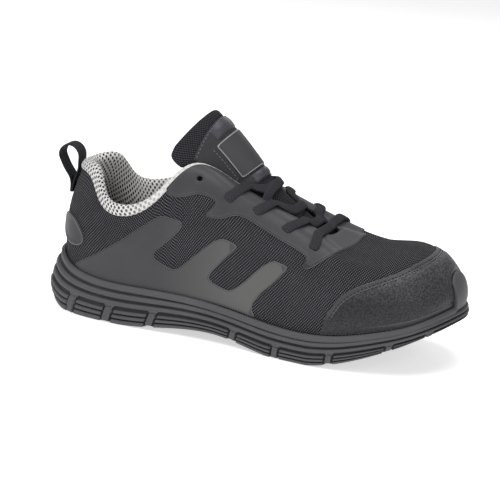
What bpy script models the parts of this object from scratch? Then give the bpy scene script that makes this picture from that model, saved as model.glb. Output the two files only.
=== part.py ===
"""Low safety sneaker for the right foot: moulded two-layer sole, hollow fabric upper with film
and leather overlays, padded collar and tongue, laces and a heel loop. Metres, Z up, toe to +X,
outer side of the foot to -Y. All curved pieces are built from two functions, the shell of the
upper and the arch of the tongue."""

import math

import bmesh
import bpy
import numpy as np

MM = 0.001

# Sizes of a shoe of about EU 42
LENGTH = 300 * MM
BALL_WIDTH = 109 * MM
HEEL_HEIGHT = 104 * MM
SOLE_HEIGHT = 30 * MM

WALL = 2.2 * MM  # fabric and lining of the upper
GAP = 0.3 * MM  # between pieces that lie on each other
RIM = 3.0 * MM  # top of the sole's rim, outside the upper
CUP = 5.0 * MM  # depth of the upper's foot inside the sole's rim
FILM = 0.8 * MM  # thickness of an overlay
STAY_GAP = 0.55 * MM  # under the eyestay, where the upper is hollow-curved
FILM_LIFT = STAY_GAP + FILM
PARTING = 0.54  # share of the sole's height under the cup that is outsole
RIB_DEPTH = 1.3 * MM
BAR_PROUD = 0.5 * MM
BAR_SLOPE = 0.0018  # share of the way round taken by a bar's sloped side
GROOVE_DEPTH = 3.0 * MM
GROOVE_WIDTH = 3.4 * MM
INSOLE = 4.0 * MM
THROAT_SHIFT = 4 * MM  # of the throat's front end towards the inner side
LACE_WIDTH = 6.5 * MM
LACE_THICK = 1.8 * MM
LOOP_WIDTH = 13 * MM

# The sole in rows from the back of the heel to the tip of the toe. at is a share of LENGTH;
# outer, inner, lean and tuck of BALL_WIDTH; under and seat of SOLE_HEIGHT.
# lean is how far the rim's top sits inside the outline, tuck how far the bottom edge does.
SOLE_ROWS = (
    # at, outer, inner, under, seat, lean, tuck
    (0.000, -0.015, 0.015, 0.15, 1.36, 0.062, 0.030),
    (0.020, 0.165, 0.185, 0.09, 1.31, 0.056, 0.028),
    (0.070, 0.292, 0.300, -0.02, 1.13, 0.040, 0.024),
    (0.150, 0.360, 0.352, -0.02, 0.98, 0.030, 0.020),
    (0.250, 0.385, 0.356, 0.02, 0.96, 0.026, 0.020),
    (0.370, 0.400, 0.326, 0.18, 0.97, 0.022, 0.022),
    (0.470, 0.425, 0.310, 0.21, 0.90, 0.020, 0.022),
    (0.570, 0.462, 0.350, 0.03, 0.77, 0.020, 0.020),
    (0.670, 0.500, 0.430, -0.02, 0.72, 0.020, 0.020),
    (0.760, 0.512, 0.480, 0.17, 0.82, 0.020, 0.024),
    (0.840, 0.480, 0.492, 0.46, 1.00, 0.020, 0.030),
    (0.910, 0.395, 0.450, 0.74, 1.18, 0.020, 0.040),
    (0.960, 0.250, 0.360, 0.93, 1.36, 0.022, 0.050),
    (0.990, 0.070, 0.220, 1.03, 1.46, 0.024, 0.056),
    (1.000, -0.070, 0.070, 1.05, 1.49, 0.026, 0.058),
)

# The opening's edge, one row for each row of the sole. at is a share of LENGTH, half of
# BALL_WIDTH, height and rise (added on the inner side) of HEEL_HEIGHT.
EDGE_ROWS = (
    # at, half, height, rise, profile
    (0.066, 0.000, 0.985, 0.000, "heel"),
    (0.076, 0.090, 0.990, 0.005, "heel"),
    (0.113, 0.190, 0.990, 0.012, "heel"),
    (0.150, 0.275, 0.830, 0.030, "side"),
    (0.215, 0.305, 0.785, 0.050, "quarter"),
    (0.290, 0.285, 0.940, 0.030, "quarter"),
    (0.360, 0.235, 1.138, 0.000, "instep"),
    (0.450, 0.175, 1.048, 0.000, "instep"),
    (0.550, 0.145, 0.915, 0.000, "instep"),
    (0.630, 0.125, 0.812, 0.000, "vamp"),
    (0.665, 0.098, 0.766, 0.004, "cap"),
    (0.678, 0.070, 0.766, 0.008, "cap"),
    (0.684, 0.045, 0.774, 0.010, "toe"),
    (0.686, 0.020, 0.784, 0.006, "toe"),
    (0.687, 0.000, 0.790, 0.000, "toe"),
)

# Control points between the upper's foot and the opening's edge: share of the way across,
# share of the way up.
PROFILES = {
    "heel": ((-0.06, 0.16), (-0.10, 0.44), (0.26, 0.70), (0.72, 0.90)),
    "side": ((-0.10, 0.18), (-0.06, 0.44), (0.26, 0.70), (0.76, 0.90)),
    "quarter": ((-0.10, 0.20), (0.00, 0.46), (0.26, 0.72), (0.78, 0.91)),
    "instep": ((-0.04, 0.22), (0.04, 0.56), (0.30, 0.84), (0.70, 0.97)),
    "vamp": ((-0.02, 0.28), (0.04, 0.62), (0.295, 0.88), (0.66, 0.917)),
    "cap": ((-0.02, 0.32), (0.05, 0.675), (0.32, 0.90), (0.66, 0.835)),
    "toe": ((-0.02, 0.29), (0.08, 0.67), (0.32, 0.98), (0.63, 0.817)),
}

# Raised bars on the side of the outsole, on both sides of the foot: shares of the way round
BARS = (
    # at the bottom, at the top, width
    (0.018, 0.020, 0.009),
    (0.062, 0.070, 0.013),
    (0.106, 0.112, 0.013),
    (0.153, 0.159, 0.012),
    (0.242, 0.245, 0.010),
    (0.289, 0.291, 0.010),
    (0.345, 0.347, 0.010),
    (0.402, 0.403, 0.009),
    (0.443, 0.441, 0.008),
)

# Side of the outsole: share of its height, depth as a share of RIB_DEPTH
OUTSOLE_SIDE = (
    # up, depth
    (0.00, 0.90),
    (0.09, 0.00),
    (0.28, 0.00),
    (0.34, 1.00),
    (0.44, 1.00),
    (0.50, 0.00),
    (0.76, 0.00),
    (0.82, 1.00),
    (1.00, 1.00),
)
# Side of the midsole: share of the height from the parting to the rim
MIDSOLE_SIDE = (
    # up, depth
    (0.00, 1.00),
    (0.05, 0.00),
    (0.22, 0.00),
    (0.28, 1.00),
    (0.36, 1.00),
    (0.42, 0.00),
    (0.56, 0.00),
    (0.62, 1.00),
    (0.69, 1.00),
)
# Rim of the midsole: share of the way up the lip, distance out from the upper
RIM_ROWS = (
    # up, out
    (0.30, 3.2 * MM),
    (0.88, 3.1 * MM),
    (1.05, 1.8 * MM),
    (1.00, 1.00 * MM),
    (0.50, 1.15 * MM),
    (0.00, 0.50 * MM),
)
BUMPER_HALF = 0.022  # share of the way round
BUMPER_SIDE = 0.20  # share of the way up the upper
BUMPER_TOP = 0.29
BUMPER_EDGE = 0.005

# Overlay outlines: share of the way round, share of the way up
QUARTER_OVERLAY = (
    (0.062, 0.090),
    (0.105, 0.440),
    (0.140, 0.640),
    (0.172, 0.820),
    (0.178, 0.800),
    (0.189, 0.650),
    (0.154, 0.423),
    (0.153, 0.360),
    (0.171, 0.243),
    (0.180, 0.243),
    (0.219, 0.353),
    (0.226, 0.353),
    (0.241, 0.317),
    (0.211, 0.170),
    (0.211, 0.140),
    (0.228, 0.112),
    (0.238, 0.118),
    (0.278, 0.347),
    (0.285, 0.367),
    (0.298, 0.370),
    (0.259, 0.120),
    (0.262, 0.090),
)
EYESTAY_LOWER = (
    (0.192, 0.985),
    (0.193, 0.900),
    (0.198, 0.847),
    (0.214, 0.753),
    (0.222, 0.693),
    (0.226, 0.620),
    (0.213, 0.593),
    (0.213, 0.570),
    (0.225, 0.483),
    (0.235, 0.490),
    (0.246, 0.533),
    (0.274, 0.560),
    (0.318, 0.570),
    (0.321, 0.530),
    (0.314, 0.425),
    (0.324, 0.430),
    (0.331, 0.470),
    (0.344, 0.580),
    (0.356, 0.680),
    (0.372, 0.795),
    (0.388, 0.865),
    (0.406, 0.903),
    (0.431, 0.922),
    (0.458, 0.932),
    (0.500, 0.937),
)
TOE_CAP_SEAM = (
    (0.338, 0.090),
    (0.340, 0.137),
    (0.349, 0.193),
    (0.363, 0.265),
    (0.373, 0.305),
    (0.392, 0.370),
    (0.413, 0.430),
    (0.433, 0.470),
    (0.452, 0.495),
    (0.476, 0.530),
    (0.500, 0.560),
)
TOE_CAP_FOOT = (
    (0.466, 0.090),
    (0.472, 0.210),
    (0.480, 0.290),
    (0.490, 0.318),
    (0.500, 0.325),
)
BADGE_SPOT = (0.046, 0.31)
BADGE_HALF = (0.027, 0.128)

LINING_REACH = 0.185  # share of the way round, each side of the heel
LINING_LOW = 0.50
LINING_PAD = 6.5 * MM

# The tongue's crest from its hidden front end to its top. at is a share of LENGTH, height of
# HEEL_HEIGHT, middle, half and sag of BALL_WIDTH.
TONGUE_ROWS = (
    # at, height, middle, half, sag, thick
    (0.715, 0.694, 0.040, 0.100, 0.020, 2.5 * MM),
    (0.667, 0.750, 0.036, 0.128, 0.078, 4.0 * MM),
    (0.617, 0.845, 0.020, 0.140, 0.130, 5.5 * MM),
    (0.567, 0.945, 0.008, 0.154, 0.190, 7.0 * MM),
    (0.523, 1.060, 0.000, 0.170, 0.245, 8.0 * MM),
    (0.487, 1.165, 0.000, 0.186, 0.265, 9.0 * MM),
    (0.437, 1.310, 0.000, 0.212, 0.262, 9.5 * MM),
    (0.393, 1.415, 0.000, 0.236, 0.264, 9.5 * MM),
    (0.367, 1.470, 0.000, 0.240, 0.240, 6.0 * MM),
)
TONGUE_BEND = math.radians(78)
STRAP_BOX = (0.58, 0.89, 0.52)  # first and last share along the tongue, share across
LABEL_BOX = (0.615, 0.785, 0.50)

# Laced eyelets on the outer side, mirrored on the inner side, from the top one to the front
# one. round and up are shares of the upper, slant is the share of the way round that the strand
# moves forward, crest the share along the tongue where it crosses, rise its height over the
# tongue there, reach the share across the tongue where it ends.
EYELETS = (
    # round, up, slant, crest, rise, reach
    (0.241, 0.650, 0.038, 0.474, 1.3 * MM, 0.40),
    (0.277, 0.723, 0.032, 0.326, 1.4 * MM, 0.36),
    (0.307, 0.727, 0.030, 0.222, 3.0 * MM, 0.10),
    (0.331, 0.653, 0.034, 0.150, 6.6 * MM, 0.00),
)

# Heel loop in its own plane, seen from the outer side
LOOP_OUTER = (
    # at, height
    (10.2, 80.0),
    (10.1, 83.5),
    (9.7, 87.0),
    (8.0, 90.0),
    (5.6, 93.5),
    (3.1, 97.0),
    (1.2, 101.0),
    (-0.3, 105.4),
    (0.6, 109.5),
    (3.6, 113.0),
    (7.5, 114.6),
    (11.0, 114.0),
    (14.2, 112.0),
    (16.4, 108.5),
    (16.9, 105.0),
    (16.6, 102.0),
    (16.9, 98.0),
    (15.9, 93.4),
    (13.6, 87.0),
    (11.9, 80.0),
)
LOOP_INNER = (
    (11.4, 89.6),
    (9.2, 92.3),
    (6.7, 95.5),
    (4.6, 98.7),
    (2.8, 102.0),
    (1.5, 105.5),
    (2.1, 108.7),
    (4.5, 111.6),
    (7.6, 112.9),
    (10.7, 112.3),
    (13.1, 110.6),
    (14.8, 107.8),
    (15.2, 105.0),
    (15.0, 102.0),
    (15.2, 98.2),
    (14.2, 94.2),
    (12.8, 91.2),
)


class Ring:
    """Closed cubic spline through rows of values at knots between 0 and 1."""

    def __init__(self, knots, values):
        self.knots = np.append(knots, knots[0] + 1)
        self.values = np.vstack([values, values[:1]])
        steps = np.diff(self.knots)
        count = len(steps)
        slope = np.diff(self.values, axis=0) / steps[:, None]
        matrix = np.zeros((count, count))
        right = np.zeros((count, self.values.shape[1]))
        for i in range(count):
            before = (i - 1) % count
            matrix[i, before] += steps[before]
            matrix[i, i] += 2 * (steps[before] + steps[i])
            matrix[i, (i + 1) % count] += steps[i]
            right[i] = 6 * (slope[i] - slope[before])
        second = np.linalg.solve(matrix, right)
        self.second = np.vstack([second, second[:1]])

    def __call__(self, u):
        u = np.atleast_1d(np.asarray(u, float)) % 1.0
        i = np.clip(np.searchsorted(self.knots, u, side="right") - 1, 0, len(self.knots) - 2)
        step = (self.knots[i + 1] - self.knots[i])[:, None]
        a = (self.knots[i + 1] - u)[:, None]
        b = (u - self.knots[i])[:, None]
        bend = self.second[i] * a**3 / (6 * step) + self.second[i + 1] * b**3 / (6 * step)
        first = (self.values[i] / step - self.second[i] * step / 6) * a
        last = (self.values[i + 1] / step - self.second[i + 1] * step / 6) * b
        return bend + first + last


def both_sides(outer, inner):
    """Rows of the outer side from heel to toe, then of the inner side back."""
    return np.vstack([outer, inner[-2:0:-1]])


def row_knots():
    """Where each row lies on the way round: 0 at the heel, 0.5 at the toe."""
    outer = np.array([(LENGTH * row[0], -BALL_WIDTH * row[1]) for row in SOLE_ROWS])
    inner = np.array([(LENGTH * row[0], BALL_WIDTH * row[2]) for row in SOLE_ROWS])
    steps = np.linalg.norm(np.diff(outer, axis=0), axis=1)
    steps = steps + np.linalg.norm(np.diff(inner, axis=0), axis=1)
    along = np.concatenate([[0], np.cumsum(steps)])
    return along / along[-1] / 2


def sole_rows(side):
    """x, y, underside, seat, lean and tuck of each row on one side."""
    rows = []
    for at, outer, inner, under, seat, lean, tuck in SOLE_ROWS:
        y = -BALL_WIDTH * outer if side < 0 else BALL_WIDTH * inner
        heights = (SOLE_HEIGHT * under, SOLE_HEIGHT * seat)
        rows.append((LENGTH * at, y, *heights, BALL_WIDTH * lean, BALL_WIDTH * tuck))
    return np.array(rows)


KNOTS = row_knots()
RING_KNOTS = np.concatenate([KNOTS, 1 - KNOTS[-2:0:-1]])
SOLE = Ring(RING_KNOTS, both_sides(sole_rows(-1), sole_rows(1)))


def inward(u):
    """Unit vectors in the ground plane from the outline towards the foot."""
    ahead = SOLE(u + 1e-4)[:, :2] - SOLE(u - 1e-4)[:, :2]
    ahead /= np.linalg.norm(ahead, axis=1)[:, None]
    return np.stack([-ahead[:, 1], ahead[:, 0]], 1)


def upper_rows(side):
    """Six control points of each row on one side, foot to edge, as one line of numbers."""
    rows = []
    last = len(EDGE_ROWS) - 1
    for k, (at, half, height, rise, name) in enumerate(EDGE_ROWS):
        u = np.array([KNOTS[k] if side < 0 else -KNOTS[k]])
        here = SOLE(u)[0]
        foot = here[:3].copy()
        foot[:2] += (here[4] + RIM) * inward(u)[0]
        foot[2] = here[3] - CUP
        y = side * BALL_WIDTH * half
        if k >= 9:
            y += THROAT_SHIFT
        z = HEEL_HEIGHT * (height + (rise if side > 0 and 0 < k < last else 0))
        edge = np.array([LENGTH * at, y, z])
        points = [foot]
        for across, up in PROFILES[name]:
            point = foot + across * (edge - foot)
            point[2] = foot[2] + up * (edge[2] - foot[2])
            points.append(point)
        points.append(edge)
        rows.append(np.concatenate(points))
    return np.array(rows)


CONTROLS = Ring(RING_KNOTS, both_sides(upper_rows(-1), upper_rows(1)))


def basis(w):
    """Weights of the six control points of a clamped cubic B-spline."""
    knots = np.concatenate([np.zeros(3), np.linspace(0, 1, 4), np.ones(3)])
    w = np.clip(np.atleast_1d(w), 0, 1 - 1e-12)
    value = [((knots[i] <= w) & (w < knots[i + 1])).astype(float) for i in range(9)]
    for degree in range(1, 4):
        for i in range(9 - degree):
            left = knots[i + degree] - knots[i]
            right = knots[i + degree + 1] - knots[i + 1]
            rising = (w - knots[i]) / left * value[i] if left else 0
            falling = (knots[i + degree + 1] - w) / right * value[i + 1] if right else 0
            value[i] = rising + falling
    return np.stack(value[:6], 1)


def on_upper(u, w):
    controls = CONTROLS(u).reshape(-1, 6, 3)
    return np.einsum("ni,nij->nj", basis(w), controls)


def upper_point(u, w, out):
    """Points at shares round and up, moved out from the upper's outer face."""
    u = np.asarray(u, float)
    w = np.clip(np.asarray(w, float), 0, 1)
    low = np.clip(w - 1e-3, 0, 1)
    high = np.clip(w + 1e-3, 0, 1)
    normal = np.cross(on_upper(u + 1e-4, w) - on_upper(u - 1e-4, w), on_upper(u, high) - on_upper(u, low))
    normal /= np.linalg.norm(normal, axis=1)[:, None]
    return on_upper(u, w) + normal * np.reshape(out, (-1, 1))


def spline_rows(rows, s):
    """Natural cubic spline through evenly spaced rows at s between 0 and 1."""
    rows = np.array(rows)
    count = len(rows)
    matrix = np.eye(count)
    right = np.zeros(rows.shape)
    for i in range(1, count - 1):
        matrix[i, i - 1 : i + 2] = (1, 4, 1)
        right[i] = 6 * (rows[i + 1] - 2 * rows[i] + rows[i - 1])
    second = np.linalg.solve(matrix, right)
    place = np.clip(np.atleast_1d(s), 0, 1) * (count - 1)
    i = np.clip(place.astype(int), 0, count - 2)
    b = (place - i)[:, None]
    a = 1 - b
    bend = (second[i] * (a**3 - a) + second[i + 1] * (b**3 - b)) / 6
    return rows[i] * a + rows[i + 1] * b + bend


TONGUE_CREST = [
    (LENGTH * at, BALL_WIDTH * middle, HEEL_HEIGHT * height, BALL_WIDTH * half, BALL_WIDTH * sag, thick)
    for at, height, middle, half, sag, thick in TONGUE_ROWS
]


def on_tongue(s, t):
    """Points of the tongue's face, s from its front end to its top, t from -1 to 1 across."""
    row = spline_rows(TONGUE_CREST, s)
    ahead = spline_rows(TONGUE_CREST, np.clip(s + 1e-3, 0, 1))
    ahead = ahead - spline_rows(TONGUE_CREST, np.clip(s - 1e-3, 0, 1))
    along = ahead[:, [0, 2]] / np.linalg.norm(ahead[:, [0, 2]], axis=1)[:, None]
    angle = t * TONGUE_BEND
    across = row[:, 3] * np.sin(angle) / math.sin(TONGUE_BEND)
    drop = row[:, 4] * (1 - np.cos(angle)) / (1 - math.cos(TONGUE_BEND))
    x = row[:, 0] - drop * along[:, 1]
    z = row[:, 2] + drop * along[:, 0]
    return np.stack([x, row[:, 1] + across, z], 1)


def tongue_point(s, t, out):
    s = np.asarray(s, float)
    t = np.asarray(t, float)
    along = on_tongue(np.clip(s + 1e-3, 0, 1), t) - on_tongue(np.clip(s - 1e-3, 0, 1), t)
    across = on_tongue(s, t + 1e-3) - on_tongue(s, t - 1e-3)
    normal = np.cross(across, along)
    normal /= np.linalg.norm(normal, axis=1)[:, None]
    return on_tongue(s, t) + normal * np.reshape(out, (-1, 1))


def clear_scene():
    for obj in list(bpy.data.objects):
        bpy.data.objects.remove(obj, do_unlink=True)


def material(name, colour, roughness):
    made = bpy.data.materials.new(name)
    made.use_nodes = True
    shader = made.node_tree.nodes["Principled BSDF"]
    shader.inputs["Base Color"].default_value = (*colour, 1)
    shader.inputs["Roughness"].default_value = roughness
    shader.inputs["Metallic"].default_value = 0
    return made


def add_mesh(name, bm, colour):
    """An object from the bmesh, its faces turned to face out."""
    bmesh.ops.recalc_face_normals(bm, faces=bm.faces)
    mesh = bpy.data.meshes.new(name)
    bm.to_mesh(mesh)
    bm.free()
    obj = bpy.data.objects.new(name, mesh)
    bpy.context.scene.collection.objects.link(obj)
    if colour:
        obj.data.materials.append(colour)
    return obj


def half_columns(marks, most):
    """Shares round from heel to toe: the marks, and even steps between them."""
    columns = [0.0]
    for mark in sorted(marks) + [0.5]:
        start = columns[-1]
        fine = most * (0.6 if mark > 0.43 or mark < 0.06 else 1.0)
        steps = max(1, math.ceil((mark - start) / fine - 1e-9))
        for k in range(1, steps + 1):
            columns.append(start + (mark - start) * k / steps)
    return columns


def full_round(half):
    return np.array(half + [1 - u for u in half[-2:0:-1]])


def strip_loft(name, rings, colour):
    """Closed solid from rings of equal length. The first and last are closed by strips from
    side to side, so each needs its columns mirrored about the toe."""
    bm = bmesh.new()
    rows = [[bm.verts.new(point) for point in ring] for ring in rings]
    count = len(rows[0])
    for lower, upper in zip(rows, rows[1:]):
        for i in range(count):
            j = (i + 1) % count
            bm.faces.new((lower[i], lower[j], upper[j], upper[i]))
    for row in (rows[0], rows[-1]):
        for i in range(count // 2):
            corners = [row[i], row[i + 1], row[(count - i - 1) % count], row[(count - i) % count]]
            bm.faces.new(list(dict.fromkeys(corners)))
    return add_mesh(name, bm, colour)


def floor_height(u):
    """Height of the cup's floor over the ground."""
    return SOLE(u)[:, 3] - CUP - GAP


def side_point(u, z, depth):
    """Points on the side of the sole at height z, moved in by depth."""
    here = SOLE(u)
    under = np.maximum(here[:, 2], 0)
    up = (z - under) / (here[:, 3] - under)
    low = np.clip(1 - up / 0.35, 0, 1)
    high = np.clip((up - 0.35) / 0.65, 0, 1)
    inset = here[:, 5] * low**2 + here[:, 4] * high**1.5 + depth
    flat = here[:, :2] + inset[:, None] * inward(u)
    return np.column_stack([flat, z])


def parting_height(u):
    under = np.maximum(SOLE(u)[:, 2], 0)
    return under + PARTING * (floor_height(u) - under)


def sole_columns(up, sharp):
    """Shares round at which a layer of the sole bends. Those of a bar lean with its height,
    and are doubled where its sides are sharp."""
    steps = (BUMPER_HALF + BUMPER_EDGE, BUMPER_HALF, 0.68 * BUMPER_HALF, 0.35 * BUMPER_HALF)
    marks = [0.5 - step for step in steps]
    for at, _, width in BARS:
        marks += [at - width / 2 - BAR_SLOPE, at + width / 2 + BAR_SLOPE]
    columns = half_columns(marks, 0.031)
    if sharp:
        columns = sorted(columns + [at + side * width / 2 for at, _, width in BARS for side in (-1, 1)])
    lean = [0] + [top - bottom for bottom, top, _ in BARS] + [0, 0]
    shift = np.interp(columns, [0] + [bar[0] for bar in BARS] + [0.47, 0.5], lean)
    return full_round(list(np.array(columns) + up * shift))


def outsole():
    """Bottom layer: rocker underside, ribbed side with raised bars."""
    low = sole_columns(0, True)
    nearest = [min(BARS, key=lambda bar: abs(bar[0] - min(u, 1 - u))) for u in low]
    raised = [abs(bar[0] - min(u, 1 - u)) <= bar[2] / 2 + 1e-6 for bar, u in zip(nearest, low)]
    rings = []
    for up, depth in OUTSOLE_SIDE:
        u = sole_columns(up, True)
        under = np.maximum(SOLE(u)[:, 2], 0)
        z = under + up * (parting_height(u) - under)
        edge = RIB_DEPTH * depth if up in (0, 1) else 0
        inset = np.where(raised, edge - BAR_PROUD * (up < 1), RIB_DEPTH * depth)
        rings.append(side_point(u, z, inset))
    return strip_loft("outsole", rings, RUBBER)


def cut_grooves(body):
    """Transverse tread grooves from bar to bar across the underside."""
    for k, (at, _, _) in enumerate(BARS[1:]):
        left = SOLE([at])[0]
        right = SOLE([1 - at])[0]
        low = max(left[2], right[2], 0)
        turn = math.atan2(right[0] - left[0], right[1] - left[1])
        bm = bmesh.new()
        bmesh.ops.create_cube(bm, size=1)
        size = (GROOVE_WIDTH, 2 * BALL_WIDTH, 2 * GROOVE_DEPTH)
        bmesh.ops.scale(bm, vec=size, verts=bm.verts)
        cutter = add_mesh(f"groove_cutter_{k}", bm, None)
        cutter.location = ((left[0] + right[0]) / 2, 0, low)
        cutter.rotation_euler = (0, 0, -turn)
        hide_cutter(cutter)
        boolean(body, cutter, "DIFFERENCE")


def hide_cutter(cutter):
    cutter.hide_render = True
    cutter.display_type = "WIRE"


def boolean(body, other, operation):
    modifier = body.modifiers.new(other.name, "BOOLEAN")
    modifier.operation = operation
    modifier.use_self = operation == "UNION"
    modifier.solver = "EXACT"
    modifier.object = other


def rim_share(u):
    """Share of the way up the upper at which the sole's rim ends."""
    w = np.linspace(0, 0.12, 49)
    shares = []
    for one in np.atleast_1d(u):
        heights = on_upper(np.full(49, one), w)[:, 2]
        shares.append(np.interp(SOLE([one])[0, 3], heights, w))
    return np.array(shares)


def lip_share(u):
    """As rim_share, with the bumper standing up over the toe."""
    rim = rim_share(u)
    away = np.abs(np.atleast_1d(u) % 1.0 - 0.5)
    crown = BUMPER_SIDE + (BUMPER_TOP - BUMPER_SIDE) * np.sqrt(np.clip(1 - (away / BUMPER_HALF) ** 2, 0, 1))
    edge = np.clip((away - BUMPER_HALF) / BUMPER_EDGE, 0, 1)
    return crown + (rim - crown) * edge


def midsole():
    """Upper layer of the sole: ribs, rolled rim, toe bumper and the cup under the upper."""
    u = sole_columns(1, False)
    base = parting_height(u) + GAP
    seat = SOLE(u)[:, 3]
    rings = []
    for up, depth in MIDSOLE_SIDE:
        rings.append(side_point(u, base + up * (seat - base), np.full(len(u), depth * RIB_DEPTH)))
    lip = lip_share(u)
    for up, out in RIM_ROWS:
        rings.append(upper_point(u, up * lip, out))
    floor = upper_point(u, 0 * u, 0.5 * MM)
    floor[:, 2] = floor_height(u)
    rings.append(floor)
    return strip_loft("midsole", rings, RUBBER)


UPPER_HALF = half_columns([0.185, 0.262, 0.338, 0.466], 0.0175)
UPPER_ROUND = full_round(UPPER_HALF)
UPPER_UP = (0.0, 0.10, 0.24, 0.40, 0.56, 0.73, 0.87, 0.94, 1.0)


def upper():
    """Hollow shell, open under the foot, at the collar and along the throat."""
    bm = bmesh.new()
    faces = []
    for out in (0.0, -WALL):
        rows = []
        for up in UPPER_UP:
            points = upper_point(UPPER_ROUND, np.full(len(UPPER_ROUND), up), out)
            rows.append([bm.verts.new(point) for point in points])
        faces.append(rows)
    rings = faces[0] + faces[1][::-1]
    count = len(UPPER_ROUND)
    for k, lower in enumerate(rings):
        higher = rings[(k + 1) % len(rings)]
        for i in range(count):
            j = (i + 1) % count
            bm.faces.new((lower[i], lower[j], higher[j]))
            bm.faces.new((lower[i], higher[j], higher[i]))
    return add_mesh("upper", bm, FABRIC)


def insole():
    u = UPPER_ROUND
    inner = WALL + 2 * GAP
    bottom = upper_point(u, 0 * u, -inner)
    bottom[:, 2] = floor_height(u) + GAP
    top = bottom.copy()
    top[:, 2] += INSOLE
    rounded = upper_point(u, 0 * u, -inner - 1.2 * MM)
    rounded[:, 2] = top[:, 2]
    shoulder = top.copy()
    shoulder[:, 2] -= 0.8 * MM
    return strip_loft("insole", [bottom, shoulder, rounded], FOAM)


def turned(face, flat):
    """The face's corners from its lowest one on, so that it folds as the upper's faces do."""
    shares = flat[face]
    first = int(np.argmin(np.sum((shares - shares.min(axis=0)) / (0.018, 0.15), axis=1)))
    return face[first:] + face[:first]


def patch(name, corners, cuts_a, cuts_b, place, inner, outer, colour):
    """Closed plate over a curved face. corners outline it in shares (a, b); cuts_a and cuts_b
    are the lines along which it bends; place gives points; inner and outer are the distances
    of its two faces, as functions of (a, b)."""
    bm = bmesh.new()
    bm.faces.new([bm.verts.new((a, b, 0)) for a, b in corners])
    for axis, cuts in ((0, cuts_a), (1, cuts_b)):
        for cut in cuts:
            spot = [0.0, 0.0, 0.0]
            spot[axis] = cut
            ahead = [0.0, 0.0, 0.0]
            ahead[axis] = 1.0
            whole = bm.verts[:] + bm.edges[:] + bm.faces[:]
            bmesh.ops.bisect_plane(bm, geom=whole, dist=1e-5, plane_co=spot, plane_no=ahead)
    bmesh.ops.remove_doubles(bm, verts=bm.verts, dist=1e-5)
    bm.verts.index_update()
    flat = np.array([vert.co[:2] for vert in bm.verts])
    low = place(flat[:, 0], flat[:, 1], inner(flat[:, 0], flat[:, 1]))
    high = place(flat[:, 0], flat[:, 1], outer(flat[:, 0], flat[:, 1]))
    rim = [[vert.index for vert in edge.verts] for edge in bm.edges if edge.is_boundary]
    faces = [turned([vert.index for vert in face.verts], flat) for face in bm.faces]
    bm.free()
    solid = bmesh.new()
    lower = [solid.verts.new(point) for point in low]
    higher = [solid.verts.new(point) for point in high]
    for face in faces:
        whole = [face] if len(face) > 4 else [face[:3], face[:1] + face[2:]][: len(face) - 2]
        for corners in whole:
            solid.faces.new([lower[i] for i in corners])
            solid.faces.new([higher[i] for i in corners])
    for a, b in rim:
        solid.faces.new((lower[a], lower[b], higher[b], higher[a]))
    return add_mesh(name, solid, colour)


def even(value):
    return lambda a, b: np.full(len(a), value)


def cuts_between(low, high):
    """The upper's own columns in a span that may cross the heel."""
    columns = np.concatenate([UPPER_ROUND - 1, UPPER_ROUND])
    return [u for u in columns if low < u < high]


def mirrored(corners):
    return tuple((1 - a, b) for a, b in corners[::-1])


def overlay(name, corners, gap, colour):
    spans = [a for a, _ in corners]
    cuts = cuts_between(min(spans), max(spans))
    return patch(name, corners, cuts, UPPER_UP, upper_point, even(gap), even(gap + FILM), colour)


def overlays():
    overlay("quarter_overlay_outer", QUARTER_OVERLAY, GAP, FILM_GREY)
    overlay("quarter_overlay_inner", mirrored(QUARTER_OVERLAY), GAP, FILM_GREY)
    edge = tuple((1 - a, 0.985) for a in UPPER_ROUND[::-1] if 0.192 < a < 0.808)
    lower = EYESTAY_LOWER + mirrored(EYESTAY_LOWER)[1:]
    overlay("eyestay", lower + edge[::-1], STAY_GAP, FILM_GREY)
    foot = TOE_CAP_FOOT + mirrored(TOE_CAP_FOOT)[1:]
    overlay("toe_cap", TOE_CAP_SEAM + mirrored(TOE_CAP_SEAM)[1:] + foot[::-1], GAP, LEATHER)
    turns = np.linspace(0, 2 * math.pi, 18, endpoint=False)
    middle = np.array(BADGE_SPOT)
    oval = [tuple(middle + np.array(BADGE_HALF) * (math.cos(a), math.sin(a))) for a in turns]
    overlay("heel_badge", oval, GAP, LABEL)


def collar_lining():
    """Padded band round the inside of the collar."""

    def inner_face(a, b):
        up = np.clip((b - LINING_LOW) / (1 - LINING_LOW), 0, 1)
        ends = np.clip((LINING_REACH - np.abs(a)) / 0.10, 0, 1)
        swell = np.sin(math.pi * np.clip(up * 0.80, 0, 1)) ** 0.8
        return -(WALL + GAP + 1.2 * MM + (LINING_PAD - 1.2 * MM) * swell * (0.35 + 0.65 * ends))

    corners = (
        (-LINING_REACH, LINING_LOW),
        (LINING_REACH, LINING_LOW),
        (LINING_REACH, 1.0),
        (-LINING_REACH, 1.0),
    )
    ups = (0.56, 0.64, 0.73, 0.87, 0.94)
    cuts = cuts_between(-LINING_REACH, LINING_REACH)
    patch("collar_lining", corners, cuts, ups, upper_point, inner_face, even(-(WALL + GAP)), LINING)


def box_corners(first, last, half):
    return ((first, -half), (last, -half), (last, half), (first, half))


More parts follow.
